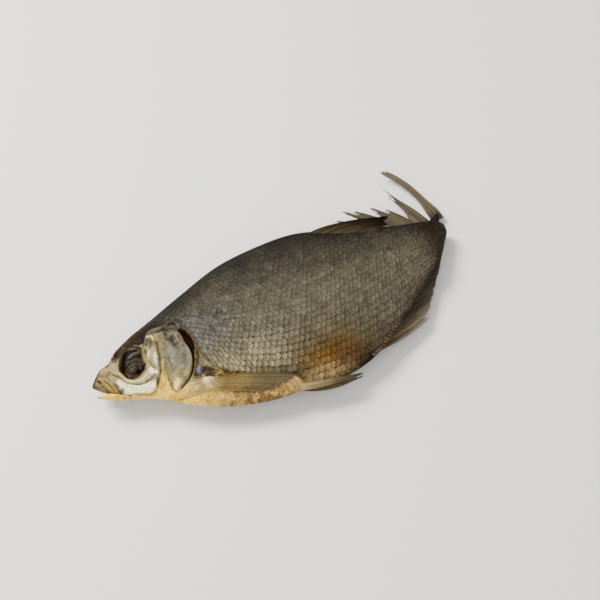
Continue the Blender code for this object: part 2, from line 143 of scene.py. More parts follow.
lateralLine = through(form["lateral"])
slitLine, coverLine = smoothLine(form["slit"], 24), smoothLine(form["gillCover"])
shelfLine, scalesLine = smoothLine(form["shelf"]), smoothLine(form["scalesBegin"], 40)


def section(x, height, top, bottom):
    middle = axisHeight(x)
    share = np.where(height > middle, (height - middle) / (top - middle),
                     (middle - height) / (middle - bottom))
    boxy = 2.2 + 0.7 * (1 - ramp(x, 60, 120))
    return halfThickness(x) * (1 - np.clip(share, 0, 1) ** boxy) ** 0.6


def leaningEdge(edge, x, lean):
    height = edge(x)
    near = lean > 0
    px, tilt, here = x[near], lean[near], height[near]
    middle = axisHeight(px)
    for _ in range(12):
        here = edge(px + tilt * (here - middle))
    height[near] = here
    return height


def slitOpening(run):  # half width of the gill slit, widest above the middle
    return 0.45 + 2.2 * np.exp(-((run - 0.25) / 0.17) ** 2)


def mainRelief(x, y):  # gill slit, gill cover and the shelf where the flank overhangs the belly
    rise = np.zeros(x.shape)
    near = (x > 48) & (x < 92) & (y < 30)
    px, py = x[near], y[near]
    slit, run = distanceTo(slitLine, px, py)
    ends = ramp(run, 0, 0.06) * (1 - ramp(run, 0.94, 1))
    lift = -5.5 * ends * np.exp(-(np.abs(slit) / slitOpening(run)) ** 4)
    front, _ = distanceTo(coverLine, px, py)
    plate = ramp(front, -1, 3) * (1 - ramp(slit, -0.5, 1.0)) * ramp(py, -34, -28)
    rise[near] = lift + 1.3 * plate * (1 - ramp(py, 15, 24))
    near = (x > 74) & (x < 152) & (y < -28)
    below, run = distanceTo(shelfLine, x[near], y[near])
    strip = ramp(run, 0, 0.12) * (1 - ramp(run, 0.8, 1))
    rise[near] -= 2.6 * strip * ramp(-below, -0.6, 1.8) * (1 - ramp(-below, 8, 18))
    return rise


def scaledShare(x, y):  # 1 where scales cover the skin
    share = np.ones(x.shape)
    near = x < 150
    share[near] = ramp(distanceTo(scalesLine, x[near], y[near])[0], -1.0, 1.5)
    return share


def unit(v):
    return v / np.maximum(np.linalg.norm(v, axis=-1, keepdims=True), 1e-9)


def flatDirection(degrees, fall=0.0):
    angle = math.radians(degrees)
    return unit(np.array([math.cos(angle), math.sin(angle), -fall]))


crease = unit(np.array([form["foldLean"], 1.0, 0.0]))
outward = np.array([crease[1], -crease[0], 0.0])
leftSide = np.array([0.0, 0.0, 1.0])
foldCentre = np.array([form["foldAt"], float(axisHeight(form["foldAt"])), 0.0])


def foldMiddle(heights, turn):  # middle plane of the fish where the tail turns under it
    angle = np.radians(turn)[..., None]
    side = np.sin(angle) * outward + np.cos(angle) * leftSide
    radius = (form["foldRadius"] + form["foldOpening"] * heights)[..., None]
    return foldCentre + crease * heights[..., None] + radius * (side - leftSide), side


stalkEnd = (foldMiddle(np.zeros(1), np.full(1, form["foldTurn"]))[0][0] + form["stalkLength"]
            * flatDirection(form["stalkHeading"], form["stalkDrop"] / form["stalkLength"]))


def skinAt(along, share, side, extra=None):  # place on the skin; extra is relief
    along, share, side = (np.array(a) for a in
                          np.broadcast_arrays(np.asarray(along, float), share, side))
    place = np.minimum(along, form["foldAt"])
    bend = ramp(place, form["leanStart"], form["foldAt"])
    top = leaningEdge(backEdge, place, form["foldLean"] * bend)
    bottom = leaningEdge(bellyEdge, place, form["foldLean"] * bend)
    height = (top + bottom) / 2 + share * (top - bottom) / 2
    across = place + form["foldLean"] * bend * (height - axisHeight(place))
    plain = section(place, height, top, bottom)
    fade = 1 - np.abs(share) ** 14
    rise = mainRelief(across, height)
    if extra is not None:
        rise = rise + extra(across, height, along, side)
    outer = np.maximum(plain + rise * fade, 0.3 * plain)
    thin = form["stalkHalf"]
    outer = np.minimum(outer, outer + (thin - outer) * bend)
    room = form["foldRadius"] + form["foldOpening"] * (height - foldCentre[1]) - 0.6
    inner = np.minimum(outer, outer + (np.maximum(room, 0.3) - outer) * bend)
    sink = 0.0 if extra is None else form["scaleDepth"] * scaledShare(across, height) * fade
    outer, inner = np.maximum(outer - sink, 0.3 * outer), np.maximum(inner - sink, 0.3 * inner)
    offset = np.where(side > 0, outer, -inner)
    flat = np.stack([across, height, offset], axis=-1)
    reach = (height - foldCentre[1]) * math.hypot(form["foldLean"], 1)
    turn = np.clip((along - form["foldAt"]) / form["foldLength"], 0, 1) * form["foldTurn"]
    middle, outwards = foldMiddle(reach, turn)
    onward = np.clip((along - form["foldAt"] - form["foldLength"]) / form["stalkLength"], 0, 1)
    tilt = flatDirection(form["stalkEndTurn"])
    end = stalkEnd + tilt * (share * form["stalkHalfDepth"])[..., None]
    middle = middle * (1 - onward[..., None]) + end * onward[..., None]
    flank = thin * 0.7 * (1 - np.abs(share) ** 2.4) ** 0.6 + 1.2 * (1 - onward)
    flank = flank - (0 if extra is None else form["scaleDepth"] * 0.7)
    thinner = np.minimum(np.abs(offset), np.maximum(flank, 0.2))
    offset = np.where(onward > 0, np.sign(offset) * thinner, offset)
    folded = middle + outwards * offset[..., None]
    points = np.where((along > form["foldAt"])[..., None], folded, flat)
    points[..., 0] = np.minimum(points[..., 0], form["foldReach"])
    points[..., 2] = np.maximum(points[..., 2],
                                form["underside"] + (0.0 if extra is None else form["clearance"]))
    return points


def readAngles(obj):  # each point of a round primitive as a share of the way down and a turn
    co = unit(np.array([v.co for v in obj.data.vertices]))
    down = np.arccos(np.clip(co[:, 2], -1, 1)) / math.pi
    return down, np.arctan2(co[:, 1], co[:, 0])


def setPoints(obj, points):
    obj.data.vertices.foreach_set("co", toWorld(points).astype(np.float32).ravel())
    obj.data.update()


def setPaint(obj, paint, gloss):  # colour of each point, and how much it shines
    colours = np.column_stack([np.clip(paint, 0.001, 1), np.ones(len(paint))])
    layer = obj.data.color_attributes.new("paint", "FLOAT_COLOR", "POINT")
    layer.data.foreach_set("color", colours.astype(np.float32).ravel())
    shine = obj.data.attributes.new("gloss", "FLOAT", "POINT")
    shine.data.foreach_set("value", np.asarray(gloss, np.float32))


def addPrimitive(name, operator, **settings):
    bpy.ops.object.select_all(action="DESELECT")
    operator(**settings)
    obj = bpy.context.active_object
    obj.name = name
    obj.data.name = name
    return obj


def applyModifiers(obj):
    bpy.ops.object.select_all(action="DESELECT")
    obj.select_set(True)
    bpy.context.view_layer.objects.active = obj
    for modifier in list(obj.modifiers):
        bpy.ops.object.modifier_apply(modifier=modifier.name)


def faceOutwards(obj):
    mesh = bmesh.new()
    mesh.from_mesh(obj.data)
    bmesh.ops.recalc_face_normals(mesh, faces=mesh.faces[:])
    mesh.to_mesh(obj.data)
    mesh.free()


def join(objects, name):
    bpy.ops.object.select_all(action="DESELECT")
    for obj in objects:
        obj.select_set(True)
    bpy.context.view_layer.objects.active = objects[0]
    bpy.ops.object.join()
    objects[0].name = name
    return objects[0]


tones = {
    "tan": (0.18, 0.13, 0.062), "putty": (0.245, 0.205, 0.0939),
         "umber2": (0.0144, 0.0102, 0.0065),
    "slate2": (0.035, 0.0317, 0.0246), "bone": (0.245, 0.205, 0.0989), "white": (0.95, 0.92, 0.52),
    "tanBrown": (0.0973, 0.0551, 0.0196), "slateDark": (0.0354, 0.0289, 0.029),
    "violet": (0.0716, 0.0499, 0.0483), "paper": (0.821, 0.793, 0.523),
         "cream": (0.83, 0.498, 0.0474),
    "throat": (0.824, 0.528, 0.099), "slate3": (0.023, 0.0205, 0.016),
         "ash": (0.0891, 0.0811, 0.0588),
    "bone2": (0.217, 0.171, 0.0722), "pale": (0.833, 0.7, 0.224),
         "goldBrown": (0.0212, 0.0101, 0.0012),
    "ash2": (0.0856, 0.0753, 0.0514), "silver": (0.775, 0.699, 0.413),
         "gold": (0.733, 0.405, 0.0035),
    "rust": (0.0967, 0.0345, 0.0093), "umber": (0.0059, 0.0037, 0.0014),
         "sand": (0.301, 0.204, 0.0487),
    "brown": (0.0533, 0.0303, 0.0109), "black": (0.0012, 0.0012, 0.0012),
         "rustDark": (0.019, 0.0068, 0.0011),
    "brownGrey": (0.036, 0.0275, 0.0165), "violetDark": (0.0338, 0.0274, 0.0291),
    "sandGrey": (0.127, 0.105, 0.054), "groove": (0.0553, 0.0304, 0.0101),
         "ashSheen": (0.134, 0.126, 0.0993),
    "goldDark": (0.0275, 0.0138, 0.0019), "blueGlint": (0.194, 0.186, 0.377),
         "lilacGlint": (0.11, 0.0961, 0.134),
    "ring": (0.38, 0.33, 0.17), "flap": (0.158, 0.13, 0.064), "blood": (0.0085, 0.003, 0.0006),
}
headShapes = [  # outline, softness of its edge, rise, colour and cover
    ([(0.8, 3.7), (6, 8.4), (10.3, 15), (13.2, 16.8), (16.7, 13.2), (19.3, 15.5), (23.1, 22.9),
      (24.1, 13.3), (23.6, 4), (18.1, 1.4), (14.1, -3.7), (5.8, -5.1), (1.4, 2.6)], 1.5, 0, "tan",
     0.9),
    ([(16.9, 11.1), (23, 10.6), (23.6, 4), (22.3, 0.8), (24.5, -8), (20.2, -3.8), (16.4, -0.5),
      (15.4, 5.2)], 1.5, 0, "putty", 0.8),
    ([(25, 7.2), (28.2, 13.7), (33.9, 18), (39.6, 16.9), (43.9, 12.4), (44.5, 5.8), (41.7, 1.3),
      (41.1, 9.9), (37.3, 15.5), (31, 12.9), (26.4, 6.3)], 1, 0.6, "umber2", 0.85),
    ([(48.9, 15.9), (53.1, 21.6), (58.3, 23.7), (65.9, 20.7), (66.7, 18.4), (59.8, 18.8),
      (56.7, 17.8), (56.5, 11.3), (53.7, 8.7), (48.4, 8.7), (47, 11.6)], 1.5, 0.9, "slate2", 0.85),
    ([(46, 11.1), (49.1, 10.3), (55.4, 8.7), (54.2, 0.1), (50.7, -9.7), (47.2, -9.7), (43.1, -5.4),
      (42.4, -1.1), (43.5, 5.4)], 1.2, 0.4, "bone", 0.85),
    ([(21.6, 1.2), (23.7, -4.9), (28.6, -10.2), (35.2, -12), (41, -9.9), (43.8, -7.7), (44.8, -12),
      (40.5, -14.8), (34.3, -14.8), (28.6, -12.2), (23.3, -8.6), (20.9, -2.3),
      (18.1, 3.4)], 1, 0.7, "ring", 0.9),
    ([(17.9, -4.2), (22.8, -7.8), (28.9, -13.3), (37.1, -16.4), (44.1, -17.2), (42, -21.5),
      (38.3, -22.5), (30.1, -19.5), (22.6, -16.8), (19.6, -14.1), (19.4, -11.2),
      (16.3, -8.3)], 1, 0.25, "white", 1),
    ([(44.1, -17.2), (49.3, -14.5), (45.5, -20.8), (41.1, -24), (36, -23.2), (25.4, -18.3),
      (37.5, -22.4), (41.7, -21.3)], 1.4, 0, "tanBrown", 0.75),
    ([(15.3, -7.7), (17.9, -8.9), (19.8, -12.9), (19.4, -13.7),
      (16.6, -11.2)], 1, -0.2, "slateDark", 0.85),
    ([(13.4, -2.4), (15.8, -3), (16.9, -5.4), (15.1, -7.5), (13.4, -6.1)], 1.2, 0, "violet", 0.7),
    ([(42.5, -7), (45, -7), (46.2, -9.1), (46.2, -11.9), (44, -12.9),
      (42.4, -10.7)], 0.7, 0.4, "paper", 1),
    ([(46.9, -10.4), (48.6, -10.5), (48.6, -12.8), (46.8, -13.5), (45.9, -12.6)], 0.6, 0.3,
     "paper", 1),
    ([(51.1, 1.9), (52.7, 2.6), (52.1, -0.7), (49.6, -7.2), (47.9, -8.2),
      (49.3, -3.1)], 0.6, 0.3, "paper", 0.6),
    ([(47.5, 5.6), (49.4, 5), (48.7, 2.3), (46.6, 1.5), (46.2, 3.7)], 0.7, 0.5, "paper", 0.8),
    ([(49, -15.3), (51.4, -15.7), (52.2, -21.4), (52, -29), (49.8, -29.6), (43.8, -27.2),
      (33.4, -22.9), (25.6, -19.4), (33.9, -22.2), (40.9, -24.4),
      (45.6, -22.3)], 1.4, 0.2, "cream", 0.95),
    ([(33.4, -22.9), (43.8, -27.2), (51.2, -30.5), (54, -32.9), (47.3, -30.6), (42.3, -30),
      (36.8, -26.8)], 1.2, 0, "throat", 0.9),
    ([(61, 19.5), (65, 22.5), (74, 24.5), (78, 18), (78, 10), (76.1, 4.1), (75.6, -4.8),
      (71.1, -4.8),
      (65.7, -0.8), (62, 7.5)], 2.2, 0, "slate3", 0.85),
    ([(61.8, 7.7), (66.7, 0.8), (75.6, -4.8), (75.8, -13), (71.2, -21), (62.6, -25.5),
      (55.6, -21.6),
      (54.8, -14), (58, -4)], 2.2, 0, "ash", 0.9),
    ([(64.9, 18.4), (73.6, 22.2), (75.5, 16.3), (76.3, 10.3), (76.1, 3.1), (75.3, -3.6),
      (70.2, -1.3),
      (66.3, 5.6), (65, 11.6)], 1.5, -0.3, "umber2", 0.3),
    ([(64.5, 13), (68, 15.5), (72, 9), (72.6, 0), (70.8, -6), (67.5, -3.5), (65.5, 4)],
     1.6, -0.2, "slate3", 0.45),
    ([(54.2, -17.3), (65.3, -19.7), (66.7, -24.1), (60.6, -29.5), (54.8, -32.1), (52.7, -30.1),
      (53.4, -24.5)], 2, 0, "bone2", 0.9),
    ([(54.8, -26.1), (59.8, -23.9), (60.9, -26.3), (57.4, -30.7), (54, -32),
      (52.7, -29.8)], 1.2, 0.3, "pale", 0.95),
    ([(69, 24.5), (77, 23), (80.6, 15.5), (82.2, 8), (80.3, 7), (77.4, 12), (73.4, 18.5)], 1.0, 0,
     "slate2", 0.9),
    ([(81.4, -6), (81.6, -14.6), (82.4, -21.3), (78.9, -26.9), (74, -28), (70, -30.3), (69.2, -29),
      (73.1, -23.9), (76.4, -18.2), (77.8, -13)], 0.8, 0, "brownGrey", 0.7),
    ([(27.5, 15.5), (33.6, 20.5), (34, 17.7), (29.9, 12.5), (26.3, 6.4), (24.5, -0.6), (23, 1.8),
      (24.3, 7.6)], 1.0, 0.3, "tanBrown", 0.75),
    ([(13.8, -4.8), (16.3, -5.1), (18.6, -8.9), (21.2, -11.9), (20.7, -13.9), (16.6, -11.2),
      (14.4, -8.8)], 0.8, -0.2, "slateDark", 0.9),
    ([(34.5, -21.2), (40.4, -23.6), (46.2, -21.2), (48.7, -17.7), (44.9, -21.9), (39.9, -24.5)],
     0.8, 0, "rust", 0.5),
    ([(79.1, 17.5), (81.8, 10.9), (82.8, -0.6), (82.5, -9.7), (80.7, -16.6), (76.4, -22),
      (72.3, -27.1), (70.9, -26.4), (75, -19.3), (77.9, -13.1), (79.5, -4.9), (79, 4.6),
      (76.7, 11.2)], 0.8, 0.6, "goldBrown", 1),
    ([(72.3, -27.1), (76.8, -22.1), (81, -16.8), (82.7, -21.5), (78.2, -26.6), (70.9, -29.9),
      (64.8, -31.7), (68.5, -28.6)], 1.2, 0, "ash2", 0.85),
    ([(59.4, -31.9), (69.5, -29.2), (77.7, -32.1), (83.9, -36.5), (80.1, -44.3), (72.1, -41.7),
      (61, -39.1), (53.8, -35.6), (48.7, -31.4)], 1.6, 0.3, "flap", 0.95),
    ([(75.5, -33.1), (80.3, -33.9), (83.3, -37.9), (80.7, -43), (76.8, -41.1),
      (75.3, -37.2)], 1.2, 0.4, "silver", 0.9),
    ([(48.7, -31.4), (59.3, -32.2), (64.2, -33), (65.7, -36.9), (57.2, -36.2),
      (53.7, -35.7)], 1.4, 0, "cream", 0.8),
    ([(71.2, -27.4), (78.2, -25.6), (82, -25), (88, -31.2), (86, -36), (77, -32.6), (72, -31.3)],
     1.0, -0.8, "umber", 0.85),
    ([(49.8, -32.7), (61, -39.2), (72, -42), (80.1, -44.4), (76.3, -51.5), (62.2, -43.3),
      (55.9, -38.2)], 1.2, 0, "gold", 0.9),
    ([(71.3, -46.7), (77.6, -49.3), (76.6, -51), (71.4, -48.1)], 1.5, 0, "rust", 0.6),
]
headLines = [  # points, half width, rise, colour and cover
    ([(1.1, 3.4), (5.3, 7.8), (9.3, 12.6), (13.1, 16.4), (16.6, 12.8)], 1.5, 0, "umber", 0.9),
    ([(16.1, 12), (19.3, 15.5), (22.4, 23.3)], 0.8, -0.3, "umber", 0.7),
    ([(1.6, 2.6), (4.3, -0.8), (6.4, -3.8)], 0.9, 0.2, "tanBrown", 0.8),
    ([(5.6, 4.1), (7.3, 1.2)], 0.85, -0.9, "black", 1),
    ([(10.4, 10.3), (12, 7.6), (14.2, 7.6), (16.1, 9.1)], 1, 0.7, "sand", 0.8),
    ([(8.4, 7.6), (10.6, 4.4), (13.7, 4.3), (16.1, 5.8)], 0.5, -0.5, "brown", 0.75),
    ([(8.2, 5), (10.6, 2.3), (13.7, 1.3)], 1.1, 0.5, "sand", 0.8),
    ([(8.2, 1.9), (9.7, -1.7), (10.9, -5.5), (12.2, -8.8)], 1, 0.8, "sand", 0.8),
    ([(9.4, 1.6), (11.6, -2.5), (13.1, -6.6), (13.8, -9.8)], 0.5, -0.6, "brown", 0.85),
    ([(11.3, 0.9), (13.4, -3.3), (14.5, -7.5), (14.4, -10)], 0.9, 0.6, "sand", 0.8),
    ([(5.6, 2), (7.5, -2.4), (9.4, -6.1)], 0.5, -0.6, "brown", 0.85),
    ([(3.9, 3.3), (5.3, -1), (7.4, -4.4)], 0.9, 0.5, "tan", 0.7),
    ([(16.1, 5.8), (17.5, 1.8), (20.2, -1.9)], 0.5, -0.4, "brown", 0.5),
    ([(15, 4.4), (13, 1.7), (13.4, -2.4)], 0.5, -0.4, "brown", 0.6),
    ([(26.9, 18.8), (25.1, 16.1), (23.2, 15.2)], 1.5, -1.3, "black", 0.9),
    ([(25.5, 24.3), (22.9, 18.7), (22, 12.7), (24, 11)], 0.5, -0.3, "umber", 0.8),
    ([(23.1, 22.9), (21.9, 20.5), (20.5, 12.2), (22.8, 10.2), (25.7, 10.9)], 0.7, 0.5, "tan", 0.7),
    ([(25, 7.2), (23.6, 4), (24, 0.7)], 1, -0.3, "rustDark", 0.85),
    ([(25.9, 5.6), (29, 11.4), (33.6, 15.1), (38.8, 14.8), (42.2, 10.5), (42.4, 6),
      (41.1, 1.6)], 0.8, 0.9, "brownGrey", 0.6),
    ([(26.1, 8.6), (29.3, 14.1), (34.1, 17.2), (39.5, 16.4), (43.5, 12.5),
      (44.5, 6.8)], 0.5, -0.5, "umber", 0.8),
    ([(27.4, 5.7), (30.9, 10.8), (35.9, 13.1), (40, 10.5), (41, 5.8)], 0.8, -0.6, "umber", 0.85),
    ([(33.4, 9.4), (37.6, 9.9), (41.5, 8.8)], 0.7, 1, "ash2", 0.9),
    ([(33.4, 7.2), (37.5, 7.8), (41.4, 6.8)], 0.5, -0.6, "black", 0.8),
    ([(29.9, 6.2), (33.5, 6.6), (37.5, 5.8), (40.8, 3.3)], 0.7, 0.6, "slate2", 0.8),
    ([(30, 3.6), (33.3, 4.2), (37.2, 3), (40.1, 0.7), (41.8, -2.3)], 0.7, 0.8, "brownGrey", 0.85),
    ([(27.4, 3.6), (30, 4.6), (32.5, 4.2)], 0.6, -0.5, "black", 0.8),
    ([(25.5, 3.1), (25.6, -1.2), (28.1, -5.3), (31.7, -6.8), (36.1, -5.8),
      (39.2, -3.9)], 2.3, -2.2, "blood", 1),
    ([(26.2, 0.1), (27.5, -3.0), (30.5, -5.6), (34.5, -5.8)], 1.3, 0, "rustDark", 0.9),
    ([(34.8, -3.9), (38.5, -3.5), (42.4, -2.1)], 0.8, -1.4, "black", 0.95),
    ([(17.8, 2.6), (20.8, -2.4), (23.8, -8.5), (29.2, -12.8), (34.6, -15.1), (40.9, -14.9),
      (45.2, -13.1)], 0.5, -0.6, "brownGrey", 0.85),
    ([(22.3, 0.8), (24.1, -4.9), (28.7, -10.1), (34.9, -11.8), (40.7, -9.7)], 0.7, 0.4, "pale",
     0.6),
    ([(44.1, -1.1), (45.8, -3.1), (46.2, -6.2), (47.6, -8.9)], 0.5, -0.6, "brown", 0.85),
    ([(47.6, -1.1), (48.3, -4.5), (47.9, -8.2)], 0.45, -0.5, "brown", 0.6),
    ([(45.3, 9.5), (44, 5), (43.1, 1)], 1.0, 0.6, "sand", 0.5),
    ([(48.8, 12.7), (47.3, 6.2), (44.6, 1.6)], 0.5, -0.5, "brownGrey", 0.6),
    ([(50, 15.3), (52.4, 14.9), (53, 11.2), (51.6, 8.9)], 1.3, -0.4, "violetDark", 0.8),
    ([(52.8, 17.9), (55.1, 17.1), (55.5, 13)], 0.8, 0.6, "pale", 0.6),
    ([(48.9, 13.7), (51.1, 18), (55.4, 21.9), (59.4, 22.1), (65.7, 20.2)], 0.8, 0.9, "ash2", 0.8),
    ([(46.7, 11.8), (49.2, 16.9), (53.6, 21.9)], 0.6, -0.5, "umber", 0.7),
    ([(58.1, 19.1), (63.6, 17.5), (69, 15.8), (74.3, 13.7)], 0.8, -0.9, "umber", 0.8),
    ([(65.1, 18.8), (70, 18), (73.9, 20.8)], 0.9, 0.5, "slate3", 0.8),
    ([(71.7, 19.8), (74.6, 20.4), (75, 18.3)], 1.4, -0.7, "black", 0.9),
    ([(56.9, 17.8), (58.7, 14.1), (59.8, 6.7), (58.6, -0.3), (56.5, -8.1)], 1.4, 1.2, "sandGrey",
     0.6),
    ([(57.2, 10.1), (55.4, 2.8), (53.6, -4.3), (51.7, -9.1)], 1, -1.2, "groove", 0.95),
    ([(51.4, -10.1), (49.5, -14.6), (46.2, -17.9), (43.3, -20.7)], 0.9, -0.8, "brown", 0.85),
    ([(51, -11.8), (49.5, -13.8)], 1, -0.3, "umber", 0.7),
    ([(45.7, -18.1), (44.5, -19.5)], 1, -0.3, "umber", 0.7),
    ([(54.5, -6.1), (52.2, -12.5), (49.9, -16.7)], 1, 0.6, "sand", 0.7),
    ([(58.9, 1.1), (57.2, -6.6), (54, -14.4), (53, -20.1), (52.9, -25.4),
      (52, -29.3)], 0.6, -0.7, "brownGrey", 0.6),
    ([(51.2, -16.5), (50.1, -21.8), (46.1, -25.1)], 0.55, -0.6, "brown", 0.75),
    ([(48.4, -18.4), (47.3, -21.8), (44.7, -24)], 0.5, -0.4, "brown", 0.5),
    ([(22.6, -16.8), (26.5, -17.9), (31.3, -20.5), (37.1, -22.9),
      (42.1, -23.9)], 0.5, -0.5, "rust", 0.7),
    ([(20.8, -15.9), (23.1, -17.5)], 0.8, -0.5, "umber", 0.7),
    # painted sheen: pale ash streaks for the gill cover's silvery-blue sheen
    ([(69.6, 11), (72, 8.6), (72.2, 3.2), (73.9, -0.8)], 1.5, 0.4, "ashSheen", 0.4),
    ([(69.2, 8.1), (68.3, 2.3), (70.3, -2.9)], 1.2, -0.3, "slate3", 0.2),
    # painted sheen on the lower gill cover
    ([(62.9, -7.8), (63.9, -11.3), (65.3, -14)], 1.3, 0.4, "ashSheen", 0.45),
    ([(66.3, -18.4), (61.5, -20.4), (57, -23.3)], 1.4, 0.5, "bone", 0.35),
    ([(59.8, -7), (59, -14.4), (58.3, -19.6)], 1, -0.4, "slate3", 0.35),
    ([(77.7, -3), (75.6, -12.8), (71.2, -21), (64.6, -26.6), (59.6, -29.7),
      (55, -31.9)], 0.9, 0.5, "sandGrey", 0.4),
    ([(74.2, -2), (72.3, -11.1), (68.7, -17.9)], 1.3, -0.3, "ash", 0.5),
    ([(54.1, -24.9), (53.2, -29.7), (54.4, -32.2)], 0.5, -0.5, "brownGrey", 0.8),
    ([(76.5, 10.8), (79.6, 5.8), (81, -1.7), (80.1, -7.3)], 0.8, 0.6, "goldBrown", 0.9),
    ([(75.6, 22.7), (79.3, 15.1), (81.9, 7.1), (82.7, -2.7), (82.2, -11)], 0.7, 0.6, "brown",
     0.45),
    ([(82.5, -11.7), (82.1, -17.3), (82.7, -21.5)], 0.7, 0.3, "ash2", 0.6),
    ([(80, -12.3), (78.5, -17.4), (74.7, -22.9)], 0.9, 0.2, "goldDark", 0.8),
    ([(85.7, 3.9), (88.6, 4.4), (91.1, 6.2)], 1, 0.6, "bone2", 0.8),
    ([(84.6, 13.1), (85.9, 9.1), (85.8, 6)], 0.8, 0.5, "bone2", 0.6),
    # painted glint: a small pale-blue reflection near the lower end of the gill slit
    ([(76, -25.4), (75.4, -27.2)], 1.2, 0.3, "blueGlint", 0.5),
    ([(76.1, -29.1), (80.4, -28.2), (85.6, -33)], 0.6, -0.7, "black", 0.8),
    # painted glint: a thin grey-lilac reflection on the dark skin above the breast fin's root
    ([(79.2, -30.7), (83.3, -31.4), (85.3, -33.7)], 0.5, 0.4, "lilacGlint", 0.9),
    ([(79.7, -26), (83.1, -28.2), (86.7, -30.9)], 0.6, -0.4, "blood", 0.8),
    ([(69.2, -29.9), (73, -31), (77.4, -32.8)], 0.45, -0.5, "umber2", 0.7),
    ([(66.9, -32), (71.5, -32.3), (76, -33.8)], 0.45, -0.4, "brownGrey", 0.6),
    ([(78.4, -37.9), (79.4, -41.2), (80.1, -44.3)], 0.9, 0.9, "paper", 1),
    ([(76.6, -36.2), (79.7, -35.2), (82.1, -35.6)], 0.6, 0.5, "paper", 0.7),
    ([(73.9, -38.1), (73.4, -40.9)], 0.45, -0.3, "brownGrey", 0.5),
    ([(54.1, -35.9), (61, -39.2), (72, -42), (80.1, -44.4)], 0.5, -0.5, "brown", 0.6),
    ([(59, -31.8), (62.1, -31.9), (67.9, -32.5)], 0.6, 0.3, "pale", 0.5),
]
headTones = {
    "base": (0.18, 0.142, 0.0607), "forehead": (0.0135, 0.0082, 0.0037),
             "brow": (0.0045, 0.003, 0.0014),
    "goldPatch": (0.0408, 0.0193, 0.0038), "back": (0.0161, 0.0135, 0.0087),
    "socket": (0.0195, 0.0152, 0.0105), "lens": (0.0325, 0.0238, 0.014),
             "throat": (0.824, 0.528, 0.099),
    "breast": (0.805, 0.567, 0.126), "gill": (0.0146, 0.0012, 0.0012),
}
foreheadLine = smoothLine([(6, 13), (15, 14), (20, 13), (24, 13), (28, 15.2), (33, 17.8),
                           (39, 17.8),
                           (44, 14.6), (48, 14.4), (52, 20), (58, 23.0), (65, 20.6), (73, 21.4),
                           (77, 18), (86, 14)], 30)


def eyeShare(x, y):
    (cx, cy), (rx, ry) = form["eye"], form["socket"]
    return np.hypot((x - cx) / rx, (y - cy) / ry)


def insideShape(outline, x, y, softness):  # 1 inside a closed outline, fading to 0 over its edge
    corners = np.array(outline, float)
    low, high = corners.min(0), corners.max(0)
    centre, reach = (low + high) / 2, (high - low) / 2 + 2 * softness
    share = np.zeros(x.shape)
    near = (np.abs(x - centre[0]) < reach[0]) & (np.abs(y - centre[1]) < reach[1])
    px, py = x[near], y[near]
    odd = np.zeros(px.shape, bool)
    for (ax, ay), (bx, by) in zip(corners, np.roll(corners, -1, axis=0)):
        if ay != by:
            odd ^= ((ay > py) != (by > py)) & (px < (bx - ax) * (py - ay) / (by - ay) + ax)
    away = np.abs(distanceTo(np.vstack([corners, corners[:1]]), px, py)[0])
    share[near] = ramp(np.where(odd, away, -away), -softness, softness)
    return share


def lineCover(line, width, x, y, power):
    points = smoothLine(line, 12)
    share = np.zeros(x.shape)
    low, high = points.min(0) - 3 * width, points.max(0) + 3 * width
    near = (x > low[0]) & (x < high[0]) & (y > low[1]) & (y < high[1])
    away = distanceTo(points, x[near], y[near])[0]
    share[near] = np.exp(-(np.abs(away) / width) ** power)
    return share


def lensShare(x, y):
    return np.hypot((x - 33.0) / 4.2, (y + 0.4) / 3.9)


def headRelief(x, y, along, side):
    rise = np.zeros_like(x)
    near = x < 100
    px, py = x[near], y[near]
    seed = 11 + 2 * int(side.flat[0] > 0)
    reach = eyeShare(px, py)
    lift = -4.2 * (1 - ramp(reach, 0.45, 0.98))
    upper = ramp(py, 2, 10) * (1 - ramp(reach, 0.8, 1.0))
    lift += upper * (2.6 + 0.5 * crumple(px, py, 3, 3))
    lift += 3.0 * np.sqrt(np.clip(1 - lensShare(px, py) ** 2, 0, 1))
    for outline, softness, amount, _, _ in headShapes:
        if amount:
            lift += amount * insideShape(outline, px, py, softness)
    for points, width, amount, _, _ in headLines:
        if amount:
            lift += amount * lineCover(points, width, px, py, 2.0)
    bare = 1 - scaledShare(px, py)
    lift += bare * (0.45 * crumple(px, py, 5.5, seed) + 0.32 * crumple(px, py, 2.4, seed + 8))
    cheek = insideShape(form["plate"], px, py, 3)
    lift += cheek * 0.6 * mottle(px + 0.5 * py, py * 0.6, 4.5, seed + 3)
    rise[near] = lift * ramp(px, 0.5, 3)
    belly = (1 - scaledShare(x, y)) * ramp(x, 80, 100)
    return rise + belly * (0.45 * crumple(x, y, 3.4, 31) + 0.3 * crumple(x, y, 1.6, 35))


